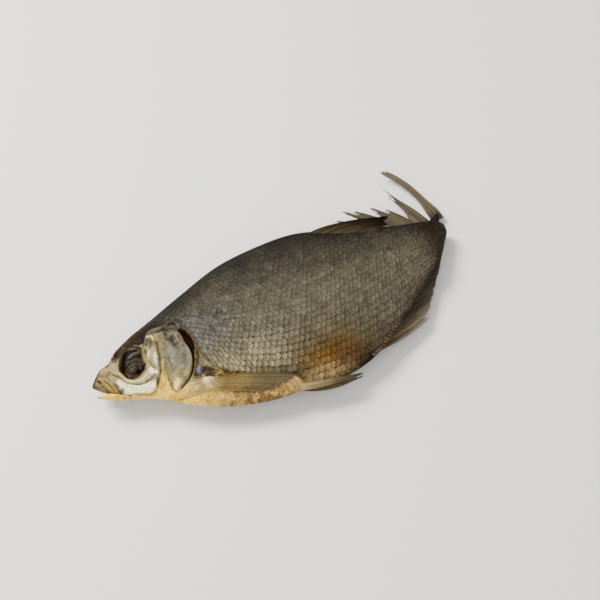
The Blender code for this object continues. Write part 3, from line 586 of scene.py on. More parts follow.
def headPaint(x, y):
    base = headTones
    paint = np.ones(x.shape + (3,)) * base["base"]
    gloss = np.full(x.shape, 0.2)
    wx = x + 1.0 * crumple(x, y, 3.5, 41) + 0.45 * mottle(x, y, 0.9, 42)
    wy = y + 1.0 * crumple(x, y, 3.5, 45) + 0.45 * mottle(x, y, 0.9, 46)
    grain = crumple(x, y, 1.5, 53)
    slit, run = distanceTo(slitLine, x, y)
    above, _ = distanceTo(foreheadLine, wx, wy)
    crown = ramp(above, -0.8, 1.2)
    paint = cover(paint, base["forehead"], crown)
    paint = cover(paint, base["goldPatch"],
                  crown * ramp(mottle(x, y, 9, 49) + 0.3 * grain, -0.6, 0.7)
                  * (1 - ramp(x, 52, 70)) * 0.8)
    paint = cover(paint, base["brow"], 0.7 * crown * (1 - ramp(above, 1.5, 6.0)) * ramp(x, 25, 31))
    paint = cover(paint, base["back"], crown * ramp(x, 54, 70))
    throat = (1 - ramp(y - bellyEdge(x), 3, 8)) * ramp(x, 18, 26) * (1 - ramp(x, 52, 60))
    paint = cover(paint, base["throat"], throat)
    breast = ramp(slit, 0.5, 3) * (1 - ramp(wy, -33, -28)) * ramp(x, 50, 56)
    paint = cover(paint, base["breast"], breast)
    for outline, softness, _, colour, amount in headShapes:
        inside = insideShape(outline, wx, wy, softness * 1.4)
        paint = cover(paint, tones[colour], amount * (0.88 + 0.5 * grain) * inside)
    reach = eyeShare(x, y)
    lid = 0.9 * (1 - ramp(np.abs(reach - 1.06), 0.08, 0.24)) * ramp(y + 0.3 * (x - 34), 5, 11)
    paint = cover(paint, tones["umber2"], lid)
    paint = cover(paint, base["socket"], 1 - ramp(reach, 0.78, 0.95))
    paint = cover(paint, base["lens"], 0.9 * (1 - ramp(lensShare(x, y), 0.75, 1.0)))
    for points, width, _, colour, amount in headLines:
        line = lineCover(points, width, wx * 0.3 + x * 0.7, wy * 0.3 + y * 0.7, 2.6)
        paint = cover(paint, tones[colour], amount * line)
    plate = insideShape(form["plate"], x, y, 2)
    stain = 1 + 0.20 * crumple(x, y, 4.5, 63) + (0.24 - 0.14 * plate) * crumple(x, y, 1.8, 66)
    stain = stain + 0.28 * plate * crumple(x - 0.1 * y, 0.22 * y, 2.6, 68)
    paint = paint * stain[..., None]
    # painted shade: black deep inside the gill slit, with the gills' own dark red laid over it
    # above the slit's middle
    dark = np.exp(-(np.abs(slit) / (slitOpening(run) * 1.1)) ** 6)
    dark = dark * ramp(run, 0, 0.04) * (1 - ramp(run, 0.96, 1))
    paint = cover(paint, tones["black"], dark)
    paint = cover(paint, base["gill"], dark * 0.8 * np.exp(-((y - 3) / 5) ** 2))
    gloss = np.maximum(gloss, 0.4 * (1 - ramp(reach, 0.7, 1.0)) * ramp(y, -3, 1))
    gloss = np.maximum(gloss, 0.4 * plate)
    gloss = np.maximum(gloss, 0.6 * insideShape(form["cheek"], x, y, 3))
    return paint, gloss


flank = {
    "back": (0.0088, 0.0074, 0.0049), "upper": (0.0215, 0.0187, 0.0142),
         "middle": (0.0785, 0.0697, 0.0462),
    "low": (0.21, 0.176, 0.098), "rear": (0.066, 0.058, 0.0375), "edge": (0.038, 0.0272, 0.016),
    "ochre": (0.084, 0.0395, 0.0048), "amber": (0.0512, 0.0328, 0.01),
         "scab": (0.012, 0.007, 0.0045),
    "rust": (0.04, 0.0144, 0.0034), "fold": (0.0108, 0.0063, 0.0033), "belly": (0.4, 0.25, 0.068),
    "bellyDark": (0.105, 0.057, 0.019), "bellyRed": (0.15, 0.058, 0.02),
    "honey": (0.25, 0.165, 0.066), "fibreAndShade": (0.022, 0.0105, 0.0058),
    "bellyLight": (0.833, 0.542, 0.0717),
}


def flankPaint(x, y):
    base = flank
    wx = x + 6 * crumple(x, y, 22, 51)
    wy = y + 5 * crumple(x, y, 18, 55)
    share = (wy - bellyEdge(x)) / np.maximum(backEdge(x) - bellyEdge(x), 5)
    paint = np.ones(x.shape + (3,)) * base["middle"]
    paint = cover(paint, base["low"], (1 - ramp(share, 0.16, 0.5)) * (1 - ramp(wx, 100, 165)))
    paint = cover(paint, base["rear"], ramp(wx, 170, 230))
    paint = cover(paint, base["upper"], ramp(share, 0.5, 0.85) * (0.55 + 0.3 * ramp(wx, 95, 150)))
    paint = cover(paint, base["back"], ramp(share, 0.8, 1.0))
    paint = cover(paint, base["edge"], 0.8 * (1 - ramp(share, 0.0, 0.16)) * ramp(x, 200, 215))

    def patch(colour, cx, cy, rx, ry, amount):
        spot = np.exp(-((wx - cx) / rx) ** 2 - ((wy - cy) / ry) ** 2)
        return cover(paint, base[colour], amount * spot)
    paint = patch("amber", 179, -50, 34, 19, 0.9)
    paint = patch("ochre", 165, -57.5, 21, 11, 0.9)
    paint = patch("honey", 155, -68, 28, 6.5, 0.95)
    paint = patch("rust", 187, -62, 12, 8, 0.75)
    paint = patch("scab", 197, -67, 13, 6, 1.0)
    paint = cover(paint, base["fold"], ramp(wx, 272, 296) * 0.85)
    # painted shade: the flank is darker, and a little warmer, just above the breast fin where the
    # overhang of the shelf throws its shadow
    shade = np.exp(-(distanceTo(shelfLine, x, y)[0] / 7.5) ** 2)
    shade = shade * ramp(x, 98, 118) * (1 - ramp(x, 138, 150))
    paint = paint * (1 - 0.8 * shade)[..., None] * (1 + shade[..., None] * [0.1, 0, -0.1])
    return paint * (1 + 0.22 * crumple(x, y, 11, 61) + 0.16 * crumple(x, y, 3, 64))[..., None]


def skinPaint(x, y):
    paint = flankPaint(x, y) * 0.6
    gloss = np.full(x.shape, 0.2)
    base = flank
    away = distanceTo(scalesLine, x, y)[0]
    bare = 1 - ramp(away, -1.0, 1.5)
    blots, fine = crumple(x, y, 3.6, 71), crumple(x, y, 1.4, 75)
    belly = np.ones(x.shape + (3,)) * base["belly"]
    light = 0.72 * ramp(crumple(x, y, 7, 91) + 0.8 * fine, -0.1, 0.6)
    belly = cover(belly, base["bellyLight"], light)
    brown = 0.6 * blots + fine + 0.5 * np.exp(-((x - 112) / 20) ** 2)
    belly = cover(belly, base["bellyDark"], 0.9 * ramp(brown, -0.1, 0.55) * ramp(x, 72, 92))
    red = 0.5 * ramp(crumple(x, y, 5, 81) + 0.6 * fine, 0.15, 0.7)
    belly = cover(belly, base["bellyRed"], red)
    belly = cover(belly, base["honey"] * np.array([1.25, 1.2, 1.1]), 0.55 * ramp(x, 120, 142))
    paint = cover(paint, belly, bare * ramp(x, 60, 84) * (1 - ramp(y, -33, -27)))
    face, faceGloss = headPaint(x, y)
    onHead = 1 - ramp(x, 86, 92)
    low = (1 - ramp(y, -40, -32)) * ramp(x, 62, 84)
    onHead = onHead * (1 - low) * bare
    paint = cover(paint, face, np.where(x < 62, 1, onHead))
    above, run = distanceTo(shelfLine, x, y)
    # dark bare fibre along the shelf above the breast fin, laid on thickly enough to be painted
    # shade of the overhang as well
    fibreAndShade = ramp(above, -0.8, 0.6) * (1 - ramp(above, 5, 8))
    fibreAndShade = fibreAndShade * ramp(x, 76, 79) * (1 - ramp(run, 0.8, 1))
    paint = cover(paint, base["fibreAndShade"], 0.95 * fibreAndShade * ramp(-y, 26, 29) * (0.85 + 0.4 * fine))
    return paint, gloss + (faceGloss - gloss) * onHead


def makeSkin():
    skin = {"columns": 320, "headStep": 0.56, "headEnd": 90.0, "bellyStep": 0.95,
            "bellyEnd": 150.0, "bodyStep": 4.0}
    head = np.arange(0.9, skin["headEnd"], skin["headStep"])
    belly = np.arange(skin["headEnd"], skin["bellyEnd"], skin["bellyStep"])
    body = np.concatenate([belly, np.arange(skin["bellyEnd"], form["foldAt"], skin["bodyStep"])])
    fold = form["foldAt"] + np.linspace(0, form["foldLength"], 11)
    stalk = fold[-1] + np.linspace(0, form["stalkLength"], 9)[1:]
    stations = np.concatenate([head, body, fold, stalk])
    obj = addPrimitive("skin", bpy.ops.mesh.primitive_uv_sphere_add,
                       segments=skin["columns"], ring_count=len(stations) + 1)
    down, turn = readAngles(obj)
    row = np.clip(np.round(down * (len(stations) + 1)).astype(int) - 1, 0, len(stations) - 1)
    share, side = np.cos(turn), np.where(np.sin(turn) > -1e-9, 1.0, -1.0)
    along = stations[row]
    points = skinAt(along, share, side, headRelief)
    pole = np.sin(down * math.pi) < 1e-6
    points[pole & (down < 0.5)] = (0.2, 4.1, 0)
    points[pole & (down > 0.5)] = stalkEnd
    setPoints(obj, points)
    where = skinAt(along, share, np.ones_like(side))
    flat = np.where((along > form["foldAt"])[:, None], [form["foldAt"] + 5, 10, 0], where)
    paint, gloss = skinPaint(flat[:, 0], flat[:, 1])
    setPaint(obj, paint, gloss)
    faceOutwards(obj)
    obj.data.shade_smooth()
    print("skin", len(obj.data.vertices), "points")
    return obj


def arcTable():  # share across the section for each place along and distance from the lateral line
    stations = np.linspace(56, form["foldAt"] + form["foldLength"] + form["stalkLength"], 130)
    shares = np.linspace(-1, 1, 121)
    grid = skinAt(stations[:, None], shares[None, :], 1.0)
    run = np.concatenate([np.zeros((len(stations), 1)),
                          np.cumsum(np.linalg.norm(np.diff(grid, axis=1), axis=2), axis=1)],
                         axis=1)
    arcs = np.linspace(-110, 110, 441)
    table = np.zeros((len(stations), len(arcs)))
    for i, station in enumerate(stations):
        place = min(station, form["foldAt"])
        row = i if station <= form["foldAt"] else stations.searchsorted(form["foldAt"]) - 1
        heights = grid[row, :, 1]
        start = np.interp(float(lateralLine(place)), heights, run[i])
        table[i] = np.interp(arcs, run[i] - start, shares, left=-1.2, right=1.2)
    return stations, arcs, table


def scaleTemplate():  # one scale: its shares along and across, and the faces of a closed plate
    obj = addPrimitive("scale", bpy.ops.mesh.primitive_grid_add, x_subdivisions=4,
                       y_subdivisions=5, size=2)
    co = np.array([v.co for v in obj.data.vertices])
    faces = [tuple(p.vertices) for p in obj.data.polygons]
    bm = bmesh.new()
    bm.from_mesh(obj.data)
    edge = next(e for e in bm.edges if e.is_boundary)
    start, here = edge.verts
    rim, before = [start.index, here.index], edge
    while True:
        edge = next(e for e in here.link_edges if e.is_boundary and e != before)
        here = edge.other_vert(here)
        before = edge
        if here == start:
            break
        rim.append(here.index)
    bm.free()
    bpy.data.objects.remove(obj)
    return co[:, 0], co[:, 1], faces, rim


def makeScales(name, side, seed):
    scale = {"rowAbove": 4.8, "rowBelow": 5.4, "length": 1.9, "height": 2.1, "lift": 1.05,
             "dome": 0.16, "lean": 0.1, "turn": -0.6, "jitter": 0.06, "rim": 0.42, "root": 1.5,
             "first": 58, "probe": 0.4, "maps": 89, "rows": (-19, 30)}
    rng = np.random.default_rng(seed)
    stations, arcs, table = arcTable()
    spacing = through([(56, 2.5), (85, 2.9), (105, 3.6), (120, 4.0), (150, 4.4), (190, 4.3),
                       (235, 3.9), (295, 3.6), (345, 3.5)])
    columns, place = [], float(scale["first"])
    while place < stations[-1] - 1:
        columns.append(place)
        place += float(spacing(place))
    centres = []
    for k in range(*scale["rows"]):
        for at in columns:
            deep = float(backEdge(min(at, 300)) - bellyEdge(min(at, 290)))
            taper = 0.8 + 0.2 * ramp(deep, 40, 110)
            front = ramp(at, 85, 150)
            if k >= 0:
                pitch = scale["rowAbove"] * (0.72 + 0.28 * front)
            else:
                pitch = scale["rowBelow"] * (0.94 + 0.06 * front)
            arc = (k + 0.5) * pitch * taper
            step = float(spacing(at))
            onward = at + scale["lean"] * arc + 0.5 * step * (k % 2)
            centres.append((onward, arc, pitch * taper, step))
    centres = np.array(centres)

    def shareAt(along, arc):
        u = np.clip((along - stations[0]) / (stations[1] - stations[0]), 0, len(stations) - 1.001)
        v = np.clip((arc - arcs[0]) / (arcs[1] - arcs[0]), 0, len(arcs) - 1.001)
        i, j = u.astype(int), v.astype(int)
        s, t = u - i, v - j
        return ((table[i, j] * (1 - s) + table[i + 1, j] * s) * (1 - t)
                + (table[i, j + 1] * (1 - s) + table[i + 1, j + 1] * s) * t)
    inside = np.abs(shareAt(centres[:, 0], centres[:, 1])) < 0.992
    centres = centres[inside & (centres[:, 0] > scale["first"]) & (centres[:, 0] < stations[-1]
                                                                   - 2)]
    spots = skinAt(centres[:, 0], shareAt(centres[:, 0], centres[:, 1]), 1.0)
    before = centres[:, 0] <= form["foldAt"]
    kept = distanceTo(scalesLine, spots[:, 0], spots[:, 1])[0] > 0.6
    centres = centres[(kept & before) | ~before]
    count = len(centres)
    u, v, faces, rim = scaleTemplate()
    jitter = np.clip(rng.normal(0, scale["jitter"], (count, 6)), -0.1, 0.1)
    length = centres[:, 3] * scale["length"] * (1 + jitter[:, 0])
    height = centres[:, 2] * scale["height"] * (1 + jitter[:, 1])
    yaw = scale["turn"] * ramp(centres[:, 0], 90, 130) + jitter[:, 2]
    thick = np.array([0, 0.50, 0.68, 0.85, 1.0])[np.round((u + 1) * 2).astype(int)]
    v = np.array([-1, -0.64, -0.22, 0.22, 0.64, 1])[np.round((v + 1) * 2.5).astype(int)]
    reach = thick * (1 - 0.58 * v ** 2)  # share of the length
    du = (-0.52 + reach)[None, :] * length[:, None]
    dv = (v * 0.5)[None, :] * height[:, None]
    du, dv = du - yaw[:, None] * dv, dv + yaw[:, None] * du
    along = (centres[:, 0] + 0.6 * jitter[:, 5] * centres[:, 3])[:, None] + du
    arc = centres[:, 1][:, None] + dv
    share = np.clip(shareAt(along, arc), -1, 1)
    ones = np.full(share.shape, side)
    points = skinAt(along, share, ones)
    step = scale["probe"]
    ahead = skinAt(along + step, share, ones) - skinAt(along - step, share, ones)
    higher, lower = np.clip(share + 0.01, -1, 1), np.clip(share - 0.01, -1, 1)
    up = skinAt(along, higher, ones) - skinAt(along, lower, ones)
    normal = unit(np.cross(ahead, up)) * side
    worn = (1 - 0.6 * ramp(centres[:, 1], -14, 22)) * (1 - 0.35 * ramp(centres[:, 0], 120, 210))
    lift = (scale["lift"] * worn * (1 + 2.0 * jitter[:, 3]))[:, None]
    size = np.minimum(centres[:, 2] / 5, 1)[:, None]
    dome = scale["dome"] * (1 - v ** 2) * np.sin(np.pi * np.clip((thick - 0.35) / 0.75, 0, 1))
    rise = size * (lift * reach[None, :] + dome[None, :] - 0.1
                   * (thick > 0.95)) - form["scaleDepth"]
    rise = rise + jitter[:, 4][:, None] * 1.2 * (v * reach)[None, :] * size
    top = points + normal * rise[..., None]
    under = top[:, rim] - scale["rim"] * normal[:, rim]
    middle = points[:, [len(u) // 2]] - scale["root"] * normal[:, [len(u) // 2]]
    every = np.concatenate([top, under, middle], axis=1)
    every[..., 2] = np.clip(every[..., 2], form["underside"], form["summit"])
    perScale = every.shape[1]
    pattern = list(faces)
    n, ring = len(u), len(rim)
    for i in range(ring):
        a, b = i, (i + 1) % ring
        pattern.append((rim[b], rim[a], n + a, n + b))
        pattern.append((n + b, n + a, n + ring))
    if side < 0:
        pattern = [tuple(reversed(f)) for f in pattern]
    allFaces = [tuple(i + k * perScale for i in f) for k in range(count) for f in pattern]
    obj = addPrimitive(name, bpy.ops.mesh.primitive_grid_add, x_subdivisions=1, y_subdivisions=1)
    mesh = bpy.data.meshes.new(name)
    mesh.from_pydata(toWorld(every.reshape(-1, 3)).tolist(), [], allFaces)
    old, obj.data = obj.data, mesh
    bpy.data.meshes.remove(old)
    home = skinAt(centres[:, 0], shareAt(centres[:, 0], centres[:, 1]), 1.0)
    late = centres[:, 0] > form["foldAt"]
    home[late] = (form["foldAt"] + 3, 8, 0)
    body = flankPaint(home[:, 0], home[:, 1])
    fromGill = np.hypot((home[:, 0] - 92) / 26, (home[:, 1] - 8) / 16)
    loose = 1 - ramp(fromGill, 0.5, 1.2)  # dull silver behind the gill
    body = body * np.exp(rng.normal(0, 0.10 + 0.2 * loose))[:, None]
    body = body * (1 + rng.normal(0, 0.015, (count, 3)))
    body = cover(body, body.mean(1, keepdims=True) * (1.08, 1.0, 0.84), 0.7 * loose)
    # painted light and shade on each scale: a painted shadow of the scale in front over its
    # covered part, a painted highlight along the middle of its free end, darker towards its lower
    # side and its top and bottom edges; the rim is painted at 0.35 and the underside at 0.2 as
    # shade; flatter, worn scales get weaker painted shading
    shadow = 0.46 + 0.16 * ramp(np.abs(v), 0.2, 0.6)
    paintedShading = 0.55 + 0.46 * ramp(reach - shadow, 0.0, 0.34)
    paintedShading = paintedShading * (1 + 0.34 * (1 - v ** 2) * ramp(thick, 0.6, 0.95))
    paintedShading = paintedShading * (1 - 0.16 * ramp(-v, 0.1, 0.9))
    paintedShading = paintedShading * (1.06 - 0.3 * ramp(np.abs(v), 0.25, 0.8))
    paintedShading = 0.95 + (paintedShading[None, :] - 0.95) * (0.25 + 0.75 * worn[:, None])
    paintedShading = np.hstack([paintedShading, np.full((count, ring), 0.35), np.full((count, 1), 0.2)])
    paint = (body[:, None, :] * paintedShading[..., None]).reshape(-1, 3)
    gloss = np.concatenate([0.1 + 0.25 * thick, np.full(ring + 1, 0.1)])
    setPaint(obj, paint, np.tile(gloss, count))
    layer = obj.data.uv_layers.new(name="scaleMap")
    flat = np.column_stack([thick, (v + 1) / 2])
    flat = np.concatenate([flat, flat[rim], [[0.5, 0.5]]])
    loops = np.zeros(len(mesh.loops), int)
    mesh.loops.foreach_get("vertex_index", loops)
    uv = flat[loops % perScale] + (loops // perScale % scale["maps"])[:, None] * [0, 1]
    layer.data.foreach_set("uv", uv.astype(np.float32).ravel())
    obj.data.shade_smooth()
    obj.data.set_sharp_from_angle(angle=math.radians(50))
    print(name, count, "scales", len(allFaces), "faces")
    return obj


def makeKeel():  # small scales that stand out along the belly edge, behind the belly fin
    keel = {"start": 203.0, "end": 290.0, "step": 2.7, "size": (1.2, 1.8, 1.1),
            "first": (0.062, 0.048, 0.034), "last": (0.036, 0.029, 0.018)}
    beads = []
    for number, along in enumerate(np.arange(keel["start"], keel["end"], keel["step"])):
        centre, ahead = skinAt(np.array([along, along + 1]), -1.0, 1.0)
        bead = addPrimitive(f"bead{number}", bpy.ops.mesh.primitive_uv_sphere_add,
                            segments=8, ring_count=5)
        odd = np.random.default_rng(number + 40).uniform(-1, 1, 3)
        co = np.array([p.co for p in bead.data.vertices]) * keel["size"]
        co = co * (1 + 0.25 * odd[0]) * (1.05 - 0.6 * ramp(along, 245, 285))
        run = unit(ahead - centre)
        out = np.array([run[1], -run[0], 0])
        place = centre + (-1.5 - 0.5 * odd[1]) * out + [0, 0, 1.2]
        place = place + (co[:, :1] + 0.6 * co[:, 1:2]) * run
        setPoints(bead, place + co[:, 1:2] * out + co[:, 2:] * [0, 0, 1])
        share = ramp(along, 225, 245)
        paint = np.array(keel["first"]) * (1 - share) + np.array(keel["last"]) * share
        # painted shade: each bead is darker on its lower side and on the side towards the body,
        # and lighter on top
        paint = paint * (0.45 + 0.75 * ramp(co[:, 2:] + 0.6 * co[:, 1:2], -1, 2))
        setPaint(bead, paint * (1 + 0.25 * odd[2]), np.full(len(co), 0.3))
        beads.append(bead)
    obj = join(beads, "keelScales")
    obj.data.shade_smooth()
    return obj


def onSide(line, clearance):  # a line laid on the left side
    line = np.asarray(line, float)
    x, y = line.T
    z = section(x, y, backEdge(x), bellyEdge(x)) + mainRelief(x, y)
    return np.column_stack([line, z + clearance])


def finSheet(name, fin, roots, tips, mids=None, spread=None):  # rays from roots, by mids, to tips
    rng = np.random.default_rng(fin["seed"])
    rays = fin["rays"]
    obj = addPrimitive(name, bpy.ops.mesh.primitive_grid_add,
                       x_subdivisions=rays * 6, y_subdivisions=22, size=2)
    co = np.array([p.co for p in obj.data.vertices])
    u, v = (co[:, 0] + 1) / 2, (co[:, 1] + 1) / 2
    lines = []
    for line in (roots, tips, roots if mids is None else mids):
        line = smoothLine(line, 60) if np.asarray(line).shape[0] > 2 else np.asarray(line, float)
        at = np.linspace(0, 1, len(line))
        lines.append(np.stack([np.interp(u, at, line[:, k]) for k in range(3)], axis=1))
    root, tip, middle = lines
    phase = u * rays                  # whole numbers between the rays
    centre = np.abs((phase % 1) - 0.5) * 2  # 0 on a ray, 1 in the web
    lengths = 1 - fin.get("ragged", 0.12) * rng.uniform(0, 1, rays + 1) ** 2
    mine = lengths[np.minimum(phase.astype(int), rays)]
    tears = rng.uniform(0, 1, rays + 2)[np.round(phase).astype(int)]
    short = fin.get("torn", 0.1) * (0.5 + 0.5 * tears)
    reach = mine - short * centre ** 1.5
    t = v * reach
    forked = ramp(v, 0.35, 0.75)
    single = 1 - centre ** 2
    double = 1 - (np.abs(centre - 0.5) * 2) ** 2
    ridge = single * (1 - forked) + double * forked
    middle = (root + tip) / 2 if mids is None else middle
    place = (root * ((1 - t) * (1 - 2 * t))[:, None] + middle * (4 * t * (1 - t))[:, None]
             + tip * (t * (2 * t - 1))[:, None])
    if spread is not None:
        place = spread(u, t)
    wave = fin.get("wave", 0.5) * crumple(u * 9, v * 3, 1.0, fin["seed"] + 7) * v
    up = np.array(fin.get("up", (0, 0, 1.0)))
    bow = fin.get("bow", 0.0) * 4 * t * (1 - t)
    ridgeHeight = fin.get("ridge", 0.5) * (1 - 0.5 * v)
    place = place + up * (bow + wave + ridge * ridgeHeight)[:, None]
    place[:, 2] = np.maximum(place[:, 2], form["underside"] + form["clearance"])
    place[:, :2] = np.minimum(place[:, :2], [form["foldReach"], form["highest"]])
    setPoints(obj, place)
    paint = np.array(fin["first"]) * (1 - v[:, None]) + np.array(fin["last"]) * v[:, None]
    dark = fin.get("dark", 0.5)
    uneven = rng.uniform(-1, 1, rays + 1)[np.minimum(phase.astype(int), rays)]
    streak = 1 + fin.get("uneven", 0.22) * uneven
    streak = streak * np.interp(u, *np.array(fin.get("gain", [(0, 1), (1, 1)])).T)
    streak = streak * (1 + 0.25 * crumple(u * rays, v * 4, 1.2, fin["seed"] + 3))
    if "foot" in fin:
        far = v + 0.05 * crumple(u * 8, v * 3, 1.0, fin["seed"])
        paint = cover(paint, np.array(fin["foot"]), 1 - ramp(far, 0.05, 0.22))
    paint = paint * (streak * (1 - dark * (1 - ridge)
                               * ramp(v, *fin.get("webs", (-0.3, 0.5)))))[:, None]
    setPaint(obj, paint, np.full(len(v), 0.35))
    plate = obj.modifiers.new("plate", "SOLIDIFY")
    plate.thickness = fin.get("thick", 0.45) * metresPerMillimetre
    plate.offset = -1.0
    applyModifiers(obj)
    faceOutwards(obj)
    obj.data.shade_smooth()
    obj.data.set_sharp_from_angle(angle=math.radians(55))
    return obj


def mirrored(obj, name):  # the same fin on the side that lies below
    other = obj.copy()
    other.data = obj.data.copy()
    bpy.context.scene.collection.objects.link(other)
    other.name = other.data.name = name
    co = np.array([p.co for p in other.data.vertices])
    co[:, 2] = -2 * fishOrigin[2] * metresPerMillimetre - co[:, 2]
    co[:, 2] = np.maximum(co[:, 2], 0.0003)
    other.data.vertices.foreach_set("co", co.astype(np.float32).ravel())
    other.data.flip_normals()
    return other


def makeFins():
    fins = []
    breast = {"rays": 22, "seed": 5, "uneven": 0.3, "first": (0.22, 0.142, 0.034),
              "last": (0.155, 0.126, 0.07), "bow": 0.8,
              "ragged": 0.05, "torn": 0.06, "ridge": 0.5, "dark": 0.8, "wave": 0.6,
              "webs": (0.2, 0.7),
              "foot": (0.3, 0.24, 0.12)}
    roots = onSide([(79, -35.4), (78, -38.5), (78.6, -42)], -1.6)
    mids = onSide([(108.5, -44.9), (107, -49), (102.5, -51.6), (96, -52.2)], 0.7)
    tips = onSide([(142, -60), (134, -60.4), (122, -60.4), (112, -59.1)], 0.7)
    fins.append(finSheet("breastFin", breast, roots, tips, mids))
    belly = {"rays": 9, "seed": 6, "first": (0.29, 0.215, 0.1), "last": (0.07, 0.053, 0.03),
             "bow": 0.4,
             "ragged": 0.08, "torn": 0.08, "ridge": 0.4, "dark": 0.5, "wave": 0.3,
             "webs": (0.0, 0.8), "foot": (0.36, 0.25, 0.11)}
    roots = onSide([(140, -64.8), (139, -66.6), (138.4, -68.6)], -1.2)
    mids = [(164, -71.9, 4.6), (162.4, -74, 4.4), (160, -75.9, 3.2)]
    tips = [(189.6, -77.6, 2.0), (187, -77.8, 1.8), (181, -77.8, 1.6)]
    fins.append(finSheet("bellyFin", belly, roots, tips, mids))
    fins += [mirrored(fins[0], "breastFinBelow"), mirrored(fins[1], "bellyFinBelow")]
    dorsal = {"rays": 16, "seed": 7, "uneven": 0.45, "first": (0.056, 0.041, 0.019),
              "last": (0.0075, 0.0053, 0.003), "ragged": 0.05,
              "torn": 0.04, "ridge": 0.7, "dark": 0.6, "wave": 0.4, "thick": 0.6}
    roots = [(206, 55, 2.6), (216, 50, 2.8), (228, 44, 2.6), (242, 38, 2.4), (256, 33, 2.2)]
    mids = [(233, 53, 4.2), (241, 46.5, 4.2), (247, 42.6, 4.0), (254, 38.2, 3.4), (263, 34.4, 2.6)]
    tips = [(275, 40, 3.4), (272.5, 39.4, 3.4), (269.5, 38.6, 3.2), (268, 37, 2.8),
            (270, 34.6, 2.2)]
    fins.append(finSheet("dorsalFin", dorsal, roots, tips, mids))
    anal = {"rays": 26, "seed": 8, "uneven": 0.5, "first": (0.024, 0.0135, 0.005),
            "last": (0.0569, 0.0476, 0.0333), "ragged": 0.06,
            "torn": 0.12, "ridge": 0.8, "dark": 0.8, "wave": 0.6, "thick": 0.45,
            "up": (0.4, -0.7, 0.6),
            "gain": [(0, 2.6), (0.24, 2.9), (0.34, 1.0), (1, 0.85)],
            "foot": (0.04, 0.018, 0.005)}
    roots = [(207, -64, -0.9), (217, -58.2, -0.9), (228, -51, -0.9), (240, -43.6, -0.9),
             (250, -38, -0.9),
             (266, -25.8, -0.9), (284, -13.6, -0.9)]
    mids = [(234, -59.6, -6), (238, -55, -6), (245, -49, -6), (253, -42, -6), (261, -35.6, -6),
            (274, -24, -6), (288, -13.4, -6)]
    tips = [(262.2, -51.4, -9), (261, -47.8, -9), (265.6, -44.2, -9), (269, -39.4, -9),
            (275, -33.2, -9),
            (283, -23.6, -9), (292.6, -11.4, -9)]
    fins.append(finSheet("analFin", anal, roots, tips, mids))
    fins.append(makeTail())
    return fins


tail = {  # place across the stalk's end, turn, length, width and bend of each bundle
    "bundles": [(0.05, 6.2, 59.9, 10.5, 13.3), (0.37, 18.5, 40.6, 8, 2.4),
                (0.41, 14.5, 47.6, 2, 3.4),
                (0.528, 16, 21.6, 8, 0.6), (0.635, 26, 33.6, 8, 1.6), (0.74, 28, 44.6, 8, 3.1),
                (0.85, 34, 55.6, 8, 5.1), (0.92, 35, 63.6, 7.5, 6.5), (0.972, 43, 61.6, 8.5, 6.1),
                (1.0, 52, 58, 9, 5.5)],
    "rise": 0.03, "inside": 6.0,
}


def makeTail():
    across = flatDirection(form["stalkEndTurn"]) * form["stalkHalfDepth"] * 0.86
    inside = flatDirection(form["stalkHeading"]) * tail["inside"]
    leaves = []
    for number, (place, turn, length, width, bend) in enumerate(tail["bundles"]):
        angle = math.radians(turn)
        root = stalkEnd - inside + across * (1 - 2 * place) + (0, 0, 0.2 + 0.1 * number)
        forwards = np.array([-math.sin(angle), math.cos(angle), tail["rise"]])
        sideways = np.array([math.cos(angle), math.sin(angle), 0.0])

        def spread(u, t):
            if number == 0:
                wide, power = 0.62 + 0.45 * (1 - ramp(t, 0.06, 0.42)) - 0.35 * ramp(t, 0.88,
                                                                                    1.04), 3
            else:
                wide, power = 0.75 + 1.1 * t - 1.65 * t ** 2, 2
            offset = (u - 0.5) * width * wide - bend * t ** power
            return root + forwards * ((length + tail["inside"])
                                      * t)[:, None] + sideways * offset[:, None]
        settings = {"rays": max(2, int(width / 1.6)), "seed": 90 + number, "ragged": 0.2,
                    "foot": (0.045, 0.026, 0.008), "first": (0.07, 0.053, 0.028),
                    "last": (0.118, 0.094, 0.06), "uneven": 0.4, "torn": 0.1, "ridge": 0.5,
                    "dark": 0.85, "wave": 0.3, "thick": 0.4, "webs": (-0.4, 0.3)}
        if number == 0:
            settings.update(rays=4, ragged=0.05, foot=(0.02, 0.016, 0.01))
        ends = np.zeros((2, 3))
        leaves.append(finSheet(f"leaf{number}", settings, ends, ends, spread=spread))
    return join(leaves, "tailFin")


